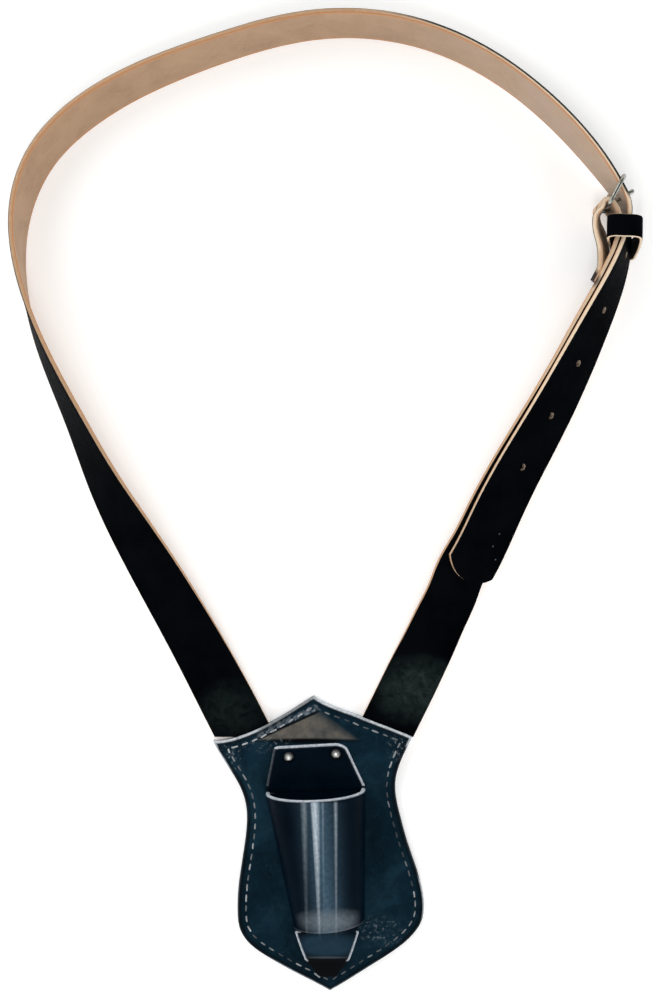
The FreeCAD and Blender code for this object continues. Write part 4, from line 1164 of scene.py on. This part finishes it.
def stitch(p0, p1, z0, z1, dip, up, verts, faces, uvs, edge, pale):
    """One thread bar that dives into the leather at both ends."""
    a, b = np.array([*p0, z0]), np.array([*p1, z1])
    t = (b - a) / np.linalg.norm(b - a)
    s = np.cross([0, 0, 1.0], t)
    s /= np.linalg.norm(s)
    n = np.cross(t, s) * up
    base = len(verts)
    K, R = 11, 10
    for i in range(K):
        q = i / (K - 1)
        edge_in = 1 - math.sin(math.pi * min(max(q, 0.0), 1.0)) ** 0.35
        c = a + (b - a) * q - n * (dip * edge_in)
        rw = 0.58 * (0.72 + 0.28 * math.sin(math.pi * q) ** 0.5)
        rh = 0.30 * (0.75 + 0.25 * math.sin(math.pi * q) ** 0.5)
        for k in range(R):
            an = 2 * math.pi * k / R
            verts.append(tuple(c + s * math.cos(an) * rw + n * math.sin(an) * rh))
            edge.append(pale)
    L = np.linalg.norm(b - a) / 1000
    for i in range(K - 1):
        for k in range(R):
            k2 = (k + 1) % R
            faces.append((base + i * R + k, base + i * R + k2, base + (i + 1) * R + k2, base + (i + 1) * R + k))
            u0, u1, v0, v1 = L * i / (K - 1), L * (i + 1) / (K - 1), k / R, (k + 1) / R
            uvs.append([(u0, v0), (u0, v1), (u1, v1), (u1, v0)])
    faces.append(tuple(base + k for k in range(R))[::-1])
    faces.append(tuple(base + (K - 1) * R + k for k in range(R)))
    uvs.append([(0, k / R) for k in range(R)])
    uvs.append([(L, k / R) for k in range(R)])


count = int(run_len[-1] / STITCH_PITCH)
sv, sf, su, se = [], [], [], []
for i in range(count):
    s0 = run_len[-1] * i / count + 1.0 + rng.uniform(-0.35, 0.35)
    s1 = s0 + 5.2 + rng.uniform(-0.9, 0.45)
    a, b = on_line(s0), on_line(s1)
    mid = on_line(0.5 * (s0 + s1))
    nrm_ = np.array([-(b - a)[1], (b - a)[0]]) / max(np.linalg.norm(b - a), 1e-6)
    wander = 0.35 * bumps(mid[0], mid[1], 0, 34.0, 12.0)
    j = rng.uniform(-0.30, 0.30)
    a2, b2 = a + nrm_ * (wander + j), b + nrm_ * (wander - j)
    za = max(front_top(*a, STITCH_INSET), tongue_top(*a))
    zb = max(front_top(*b, STITCH_INSET), tongue_top(*b))
    zm = max(front_top(*mid, STITCH_INSET), tongue_top(*mid))
    lift = max(0.0, zm - 0.5 * (za + zb))
    # clean thread at the upper left and down the left side, dirty and worn in elsewhere
    if mid[0] < -18 and mid[1] > -176:
        pale = 1.0
    elif mid[0] < -20 and mid[1] > -225:
        pale = rng.choice([0.7, 0.5, 0.25, 0.1])
    elif mid[0] < -20 and mid[1] > -300:
        pale = rng.choice([1.0, 0.9, 0.75, 0.3])
    elif mid[0] > 30 and mid[1] > -185:
        pale = rng.choice([0.8, 0.6, 0.4, 0.25])
    else:
        pale = rng.choice([0.75, 0.45, 0.2, 0.08, 0.0, 0.0])
    sunk = 0.18 if pale < 0.5 else 0.0
    stitch(a2, b2, za + 0.20 + lift - sunk, zb + 0.20 + lift - sunk, 0.55, 1, sv, sf, su, se, pale)
    stitch(a, b, 0.36, 0.36, 0.0, 1, sv, sf, su, se, 0.8)
make("shield_stitching", sv, sf, [M_THREAD], None, su, {"edge": se}, replaces=["perimeter_stitching"], slot="thread")


# --------------------------------------------------------------------- pole cup
BASE_Z = 2 * PLATE_T


def cup_loop(k, grow, back, top, swell=0.0):
    lx = CUP_MOUTH[0][0] + (CUP_END[0][0] - CUP_MOUTH[0][0]) * k
    ly = CUP_MOUTH[0][1] + (CUP_END[0][1] - CUP_MOUTH[0][1]) * k
    rx = CUP_MOUTH[1][0] + (CUP_END[1][0] - CUP_MOUTH[1][0]) * k
    ry = CUP_MOUTH[1][1] + (CUP_END[1][1] - CUP_MOUTH[1][1]) * k
    e = np.array([rx - lx, ry - ly, 0.0])
    a = np.linalg.norm(e) / 2 - grow
    e /= np.linalg.norm(e)
    c = np.array([(lx + rx) / 2, (ly + ry) / 2, 0.0])
    zt = BASE_Z + CUP_MOUTH_H + (CUP_END_H - CUP_MOUTH_H) * k - top
    zb = BASE_Z + back
    pts = []
    N = 120
    for i in range(N + 1):
        phi = math.pi * (1 - i / N)
        cx, sx = math.cos(phi), math.sin(phi)
        x = a * math.copysign(abs(cx) ** (2 / CUP_POWER), cx)
        z = zb + (zt - zb) * max(sx, 0.0) ** (2 / CUP_POWER)
        pts.append(c + e * x + np.array([0, 0, z]))
    pts = np.array(pts)
    across = np.clip(1.0 - ((pts - c).dot(e) / a) ** 2, 0.0, 1.0)
    bow = 2.4 * (1 - float(smooth01(0.0, 0.4, k)))
    flare = 2.6 * float(smooth01(0.6, 1.0, k))
    pts[:, 1] -= bow * across + flare * (across - 0.55)
    d = np.r_[0, np.cumsum(np.linalg.norm(np.diff(pts, axis=0), axis=1))]
    even = np.linspace(0, d[-1], 73)
    arch = np.array([[np.interp(u, d, pts[:, j]) for j in range(3)] for u in even])
    # the fold at each side of the arch is a rounded one
    flat = np.array([arch[-1] + (arch[0] - arch[-1]) * q for q in np.linspace(0, 1, 22)[1:-1]])
    return np.vstack([arch, flat]), even / d[-1]


def arch_detail(loop, k, amount):
    """Soft ridges and unevenness of leather bent to a tube."""
    n = 73
    out = loop.copy()
    cen = loop[:n].mean(0)
    for i in range(n):
        t = loop[min(i + 1, n - 1)] - loop[max(i - 1, 0)]
        nn = np.cross(t, [0, 1.0, 0])
        nn /= max(np.linalg.norm(nn), 1e-9)
        if nn.dot(loop[i] - cen) < 0:
            nn = -nn
        s = i / (n - 1)
        h = 0.0
        for s0, wd, am in ((0.36, 0.012, 0.10), (0.415, 0.016, 0.26), (0.455, 0.012, -0.14), (0.492, 0.020, 0.32),
                           (0.545, 0.016, -0.20), (0.590, 0.014, 0.24), (0.65, 0.02, -0.10)):
            wob = 0.010 * bumps(k * 60, s0 * 90, 0, 22.0, 5.0)
            h += am * math.exp(-((s - s0 - wob) / wd) ** 2) * (0.75 + 0.45 * bumps(k * 95, s0 * 300, 0, 30.0))
        h += 0.18 * bumps(*loop[i], 16.0, 4.0)
        edge_fade = float(smooth01(0.02, 0.12, s) * (1 - smooth01(0.88, 0.98, s)))
        out[i] = loop[i] + nn * h * amount * edge_fade
    return out


rings, verts, edge, vmap = [], [], [], []


def push(loop, pale, k):
    ring = []
    for i, q in enumerate(loop):
        ring.append(len(verts))
        verts.append(tuple(q))
        edge.append(pale if i < 73 else 0.0)
        vmap.append((k * 0.095, i / 72.0 * 0.1))
    rings.append(ring)


ks = [0.010, 0.0145, 0.019, 0.0235, 0.029] + list(np.linspace(0.042, 0.988, 64))
fade = lambda k: float(smooth01(0.0, 0.05, k))
for k in ks:
    push(arch_detail(cup_loop(k, 0, 0, 0)[0], k, fade(k) * (1 - 0.6 * float(smooth01(0.9, 1.0, k)))), 0.9 - 0.9 * float(smooth01(0.0060, 0.0125, k)), k)
for g, kk, pale in ((0.10, 0.995, 0.10), (0.45, 1.0, 0.06), (1.1, 1.003, 0.10), (1.9, 1.003, 0.12), (2.55, 1.0, 0.1), (2.9, 0.995, 0.05)):
    push(cup_loop(kk, g, g * CUP_BACK_T / CUP_T, g)[0], pale, kk)
for k in ks[::-1]:
    push(cup_loop(k, CUP_T, CUP_BACK_T, CUP_T)[0], 0.0, k)
for g, kk, pale in ((2.9, 0.005, 0.8), (2.55, 0.0005, 1.0), (1.9, -0.003, 1.0), (1.1, -0.003, 1.0), (0.45, 0.0, 1.0), (0.10, 0.006, 0.8)):
    push(cup_loop(kk, g, g * CUP_BACK_T / CUP_T, g)[0], pale, kk)
rings.append(rings[0])
faces, uvs = [], []
for a, b in zip(rings, rings[1:]):
    n = len(a)
    for i in range(n):
        j = (i + 1) % n
        faces.append((a[i], a[j], b[j], b[i]))
        ui, uj = vmap[a[i]], (vmap[a[j]] if j else (vmap[a[i]][0], vmap[a[i]][1] + 0.1 / 72))
        ubj, ubi = (vmap[b[j]] if j else (vmap[b[i]][0], vmap[b[i]][1] + 0.1 / 72)), vmap[b[i]]
        uvs.append([ui, uj, ubj, ubi])
make("cup_sleeve_leather", verts, faces, [M_CUP], None, uvs, {"edge": edge}, sharp=50, replaces=["cup_sleeve"],
     slot="plate_leather")

# riveted tab of the sleeve
TAB_R = []
for i, q in enumerate(TAB):
    a, b, c = np.array(TAB[i - 1]), np.array(q), np.array(TAB[(i + 1) % len(TAB)])
    ra = 2.6 if 0 < i < 4 else 0.3
    p1, p2 = b + (a - b) / np.linalg.norm(a - b) * ra, b + (c - b) / np.linalg.norm(c - b) * ra
    TAB_R += [tuple(p1), tuple((p1 + 2 * b + p2) / 4), tuple(p2)]
dense = []
for a, b in zip(TAB_R, TAB_R[1:] + TAB_R[:1]):
    a, b = np.array(a), np.array(b)
    n = max(1, int(np.linalg.norm(b - a) / 0.9))
    dense += [tuple(a + (b - a) * i / n) for i in range(n)]
TABP = np.array(dense)
if sum(TABP[i][0] * TABP[(i + 1) % len(TABP)][1] - TABP[(i + 1) % len(TABP)][0] * TABP[i][1] for i in range(len(TABP))) < 0:
    TABP = TABP[::-1]


def tab_top(x, y, d):
    z = front_base(y) + PLATE_T + CUP_BACK_T + 0.04
    r = min(math.hypot(x - a, y - b) for a, b in RIVET_AT)
    z -= 0.35 * math.exp(-((r - 3.4) / 1.6) ** 2)
    return z - round_off(d, 1.2) + 0.08 * bumps(x, y, 0, 14.0, 6.0)


# the tab's pale cut edge runs along its top and right sides only: partly the raw edge's own colour, partly a painted
# highlight on the sides that face the light
def tab_edge(x, y, d, upper):
    f = 1.0 - float(smooth01(1.0, 1.9, d))
    if y < -198.5:
        return 0.0
    if y > -172.5 or x > 8.5:
        return f
    return f * 0.12


v, f, e = slab(TABP, [0.12, 0.35, 0.7, 1.2, 1.8, 2.6], 1.7, tab_top,
               lambda x, y, d: front_base(y) + PLATE_T + 0.02 + round_off(d, 0.4), extra=round_rivets, edge=tab_edge)
uvs = [[(v[i][1] / 1000, v[i][0] / 1000) for i in q] for q in f]
make("cup_tab_leather", v, f, [M_CUP], None, uvs, {"edge": e}, sharp=48, slot="plate_leather")

# tongue: as wide as the sleeve where it comes out, arched across under it
TONGUE_WIDE = [(-17.5, -288.0), (20.4, -288.0), (20.9, -293.0)] + [(q[0] + 1.5 * (1 if q[0] > 0 else -1), q[1]) if q[1] > -320.0 else q for q in TONGUE_PLAN if q[1] < -299.0] + [(-21.0, -298.0), (-17.5, -296.6)]
TPL = []
for i in range(len(TONGUE_WIDE)):
    a, b = np.array(TONGUE_WIDE[i]), np.array(TONGUE_WIDE[(i + 1) % len(TONGUE_WIDE)])
    n = max(1, int(np.linalg.norm(b - a) / 0.8))
    TPL += [tuple(a + (b - a) * j / n) for j in range(n)]
TPL = np.array(TPL)
if sum(TPL[i][0] * TPL[(i + 1) % len(TPL)][1] - TPL[(i + 1) % len(TPL)][0] * TPL[i][1] for i in range(len(TPL))) < 0:
    TPL = TPL[::-1]


def tongue_crown(x, y):
    """How much lower the tongue is at x than in its middle."""
    deep = 5.4 + (0.5 - 5.4) * float(smooth01(299.0, 316.0, -y))
    return deep * min(abs(x - 0.5) / 20.5, 1.1) ** 3


def tongue_up(x, y, d):
    s = (tongue_z(y + 0.4) - tongue_z(y - 0.4)) / 0.8
    return tongue_z(y) - tongue_crown(x, y) + TONGUE_T * math.sqrt(1 + s * s) - round_off(d, 1.1) + 0.08 * bumps(x, y, 0, 9.0, 1.0)


def tongue_edge(x, y, d, upper):
    if not -320.5 < y < -298.0:
        return 0.0
    return 0.9 * (1.0 - float(smooth01(0.9, 1.7, d)))


v, f, e = slab(TPL, [0.12, 0.35, 0.7, 1.2, 1.8, 2.6], 1.6, tongue_up,
               lambda x, y, d: max(tongue_z(y) - tongue_crown(x, y), 6.0) + 0.02 + round_off(d, 0.4), edge=tongue_edge)
uvs = [[(v[i][1] / 1000, v[i][0] / 1000) for i in q] for q in f]
make("cup_tongue_leather", v, f, [M_CUP], None, uvs, {"edge": e}, sharp=48, replaces=["cup_floor_tongue"],
     slot="plate_leather")

# rivets and burrs
TOP_Z = PLATE_T + STRAP_T + PLATE_T + CUP_BACK_T
for k, (x, y) in enumerate(RIVET_AT):
    dome = [(3.5 * math.sin(a), 2.0 * math.cos(a) ** 0.9 if math.cos(a) > 0 else 0.0) for a in np.linspace(0, math.pi / 2, 18)]
    prof = [(0, 1.98)] + [(r, z * 0.92 + 0.14) for r, z in dome[1:-1]] + [(3.55, 0.22), (3.62, 0.08), (3.5, -0.12), (1.5, -0.2), (1.5, -12.0), (0, -12.0)]
    lathe(prof, (x, y, TOP_Z - 0.05), (0, 0, 1), "cup_rivet_%d" % (k + 1), M_RIVET, sharp=60,
          replaces=["cup_rivets"], slot="nickel")
    ring = [(0, 0.42), (0.9, 0.36), (1.45, 0.12), (1.55, 0.55), (1.9, 0.72), (2.9, 0.62), (3.7, 0.40), (3.98, 0.20), (3.98, -0.35), (3.7, -0.42), (0, -0.42)]
    lathe([(r, h) for r, h in ring], (x, y, 0.68), (0, 0, -1), "cup_burr_%d" % (k + 1), M_NICKEL, sharp=60,
          replaces=["cup_rivet_burrs"], slot="nickel")

# ----------------------------------------------------------------------- keeper
kt = np.array([KEEPER_DIR[0], KEEPER_DIR[1], 0.0])
kt /= np.linalg.norm(kt)
kn = np.array([kt[1], -kt[0], 0.0])
kd, kp = chord(KEEPER_MID, True)
ks_ = Spline(kd, kp, True)
prof = [(-7.5, 0.0), (-7.46, 0.5), (-7.25, 0.82), (-6.9, 0.97), (-5.4, 1.0), (-5.0, 0.88), (-4.6, 1.0), (0, 1.02), (4.6, 1.0), (5.0, 0.88),
        (5.4, 1.0), (6.9, 0.97), (7.25, 0.82), (7.46, 0.5), (7.5, 0.0), (7.46, -0.6), (7.25, -0.9), (6.9, -1.0), (0, -1.0),
        (-6.9, -1.0), (-7.25, -0.9), (-7.46, -0.6)]
KMAT = [1, 1, 0, 0, 0, 0, 0, 0, 0, 0, 0, 0, 1, 1, 1, 1, 2, 2, 2, 2, 1, 1]
KV = [0.1, 0.1005, 0.1008, -0.0069, -0.0054, -0.005, -0.0046, 0, 0.0046, 0.005, 0.0054, 0.0069, 0.1008, 0.1005, 0.1, 0.0994, 0.0991,
      0.2069, 0.2, 0.1931, 0.0991, 0.0994]
NK = 150
verts, faces, fm, uvs = [], [], [], []
for i in range(NK):
    u = kd[-1] * i / NK
    q = ks_.at(u)
    d = ks_.slope(u)
    d /= np.linalg.norm(d)
    nn = np.array([-d[1], d[0]])
    if nn.dot(q - np.array([0.0, 24.0])) < 0:
        nn = -nn
    for w, h in prof:
        a = q + nn * h
        t = -3.0 + KEEPER_SKEW * (a[1] - 23.5) + w
        verts.append(tuple(np.array([KEEPER_ORIGIN[0], KEEPER_ORIGIN[1], 0]) + kn * a[0] + kt * t + np.array([0, 0, a[1]])))
P = len(prof)
for i in range(NK):
    j = (i + 1) % NK
    for k in range(P):
        k2 = (k + 1) % P
        faces.append((i * P + k, i * P + k2, j * P + k2, j * P + k))
        fm.append(KMAT[k])
        u0, u1 = kd[-1] * i / NK / 1000, kd[-1] * (i + 1) / NK / 1000
        va = KV[k] if KMAT[k] != 2 else 0.2 + prof[k][0] / 1000
        vb = KV[k2] if KMAT[k] != 2 else 0.2 + prof[k2][0] / 1000
        if KMAT[k] == 1:
            va, vb = 0.1 + prof[k][1] * 0.0013, 0.1 + prof[k2][1] * 0.0013
        elif KMAT[k] == 0:
            va, vb = prof[k][0] / 1000, prof[k2][0] / 1000
        uvs.append([(u0, va), (u0, vb), (u1, vb), (u1, va)])
make("keeper_leather", verts, faces, [M_GRAIN, M_EDGE, M_INSIDE], fm, uvs, sharp=55, body="keeper",
     replaces=["keeper_loop"], slot="strap_leather")

# ----------------------------------------------------------------------- buckle
fd = np.array([math.cos(math.radians(FRAME_ANGLE)), math.sin(math.radians(FRAME_ANGLE)), 0.0])


def fpt(r, z):
    return np.array([HEEL[0] + fd[0] * r, HEEL[1] + fd[1] * r, z])


loop, L, R = [], FRAME_REACH, FRAME_CORNER
corners = [((R, FRAME_Z1 - R), 180, 90), ((L - R, FRAME_Z1 - R), 90, 0), ((L - R, FRAME_Z0 + R), 0, -90), ((R, FRAME_Z0 + R), -90, -180)]
for (cr, cz), a0, a1 in corners:
    for a in np.linspace(a0, a1, 12):
        loop.append(fpt(cr + R * math.cos(math.radians(a)), cz + R * math.sin(math.radians(a))))
full = []
for a, b in zip(loop, loop[1:] + loop[:1]):
    n = max(1, int(np.linalg.norm(b - a) / 1.2))
    full += [a + (b - a) * i / n for i in range(n)]
upn = np.cross(fd, [0, 0, 1.0])
rn = []
for q in full:
    r = (q - fpt(0, 0))[:2].dot(fd[:2])
    rn.append(FRAME_WIRE / 2)
sweep(full, rn, rn, upn, "buckle_frame_wire", M_NICKEL, seg=28, closed=True, body="buckle", replaces=["buckle_frame"],
      slot="nickel")

pdv = np.array([math.cos(math.radians(PRONG_ANGLE)), math.sin(math.radians(PRONG_ANGLE)), 0.0])
side_p = np.array([-pdv[1], pdv[0], 0.0])
hz = np.array([HEEL[0], HEEL[1], PRONG_Z])
wrap_r = 1.45 + 0.93
pts, rn_, rb_ = [], [], []
TIP_END = PRONG_REACH + 1.6
for d in np.linspace(TIP_END, 4.4, 34):
    s = (d - 4.4) / (PRONG_REACH - 4.4)
    off = -wrap_r * (1 - float(smooth01(0.0, 0.22, s)))
    pts.append(hz + pdv * d + side_p * off)
    rr = PRONG_WIRE / 2 * (1.0 - 0.10 * s)
    rr *= 1.0 + 0.42 * float(smooth01(PRONG_REACH - 3.2, PRONG_REACH - 1.2, d))
    if d > TIP_END - 1.4:
        rr *= math.sqrt(max(1 - ((d - TIP_END + 1.4) / 1.4) ** 2, 0.02))
    rn_.append(rr)
    rb_.append(rr)
for a in np.linspace(-62, -345, 40):
    ar = math.radians(a)
    pts.append(hz + pdv * (wrap_r * math.cos(ar)) + side_p * (wrap_r * math.sin(ar)))
    f_ = float(smooth01(-62, -110, a))
    rn_.append(PRONG_WIRE / 2 + (0.92 - PRONG_WIRE / 2) * f_)
    rb_.append(PRONG_WIRE / 2 + (1.45 - PRONG_WIRE / 2) * f_)
sweep(pts, rn_, rb_, (0, 0, 1), "buckle_prong_wire", M_NICKEL, seg=22, body="prong", replaces=["buckle_prong"],
      slot="nickel", sharp=60)

# fold rivets keep their design shape
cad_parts["chape_rivets"].data.materials.clear()
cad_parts["chape_rivets"].data.materials.append(M_RIVET)

# ------------------------------------------------------------------------- stage
bm = bmesh.new()
bmesh.ops.create_grid(bm, x_segments=24, y_segments=24, size=6.0)
me = bpy.data.meshes.new("studio_floor")
bm.to_mesh(me)
bm.free()
floor = bpy.data.objects.new("studio_floor", me)
floor.location = (0, 0.24, -0.0004)
bpy.context.scene.collection.objects.link(floor)
fm_ = Mat("floor_paper", (0.94, 0.94, 0.94), 0.95, Specular_IOR_Level=0.1)
fm_.bsdf.inputs["Emission Color"].default_value = (1, 1, 1, 1)
fm_.bsdf.inputs["Emission Strength"].default_value = 0.22
me.materials.append(fm_.m)

# a dim ceiling over a broad bright band all round, like a light tent that is open at the top
world = bpy.data.worlds.new("studio")
bpy.context.scene.world = world
world.use_nodes = True
wt = world.node_tree
wc = wt.nodes.new("ShaderNodeTexCoord")
ws = wt.nodes.new("ShaderNodeSeparateXYZ")
wr = wt.nodes.new("ShaderNodeValToRGB")
wt.links.new(wc.outputs["Generated"], ws.inputs[0])
wt.links.new(ws.outputs[2], wr.inputs[0])
stops = [(0.0, 0.55), (0.10, 1.0), (0.64, 1.0), (0.78, 0.02), (1.0, 0.008)]
ce = wr.color_ramp.elements
while len(ce) < len(stops):
    ce.new(0.5)
for k, (pos, lum) in enumerate(stops):
    ce[k].position = pos
    ce[k].color = (lum, lum * 0.995, lum * 0.985, 1)
wt.links.new(wr.outputs[0], wt.nodes["Background"].inputs[0])
wt.nodes["Background"].inputs[1].default_value = 1.84


def area(name, at, to, size, power, colour=(1, 1, 1)):
    d = bpy.data.lights.new(name, 'AREA')
    d.shape = 'RECTANGLE'
    d.size, d.size_y = size
    d.energy = power
    d.color = colour
    o = bpy.data.objects.new(name, d)
    o.location = at
    o.rotation_euler = (Vector(to) - Vector(at)).to_track_quat('-Z', 'Y').to_euler()
    bpy.context.scene.collection.objects.link(o)
    return o


area("key", (-0.95, 0.95, 0.95), (0.0, 0.15, 0.0), (0.8, 0.8), 5, (1.0, 0.985, 0.96))
area("strip", (-0.02, -0.70, 1.37), (0.0, 0.0, 0.0), (0.035, 0.30), 1.6, (0.92, 0.97, 1.0))
area("sparkle", (-0.03, -0.13, 1.40), (0.0, 0.06, 0.0), (0.24, 0.24), 2.6, (1.0, 1.0, 1.0))

cam = bpy.data.cameras.new("camera")
cam.sensor_fit = 'VERTICAL'
cam.angle = math.radians(32.52)
cam.clip_start, cam.clip_end = 0.05, 20
co = bpy.data.objects.new("camera", cam)
co.location = (0, 0.24, 1.2)
bpy.context.scene.collection.objects.link(co)
bpy.context.scene.camera = co
bpy.context.scene.view_settings.view_transform = 'Standard'
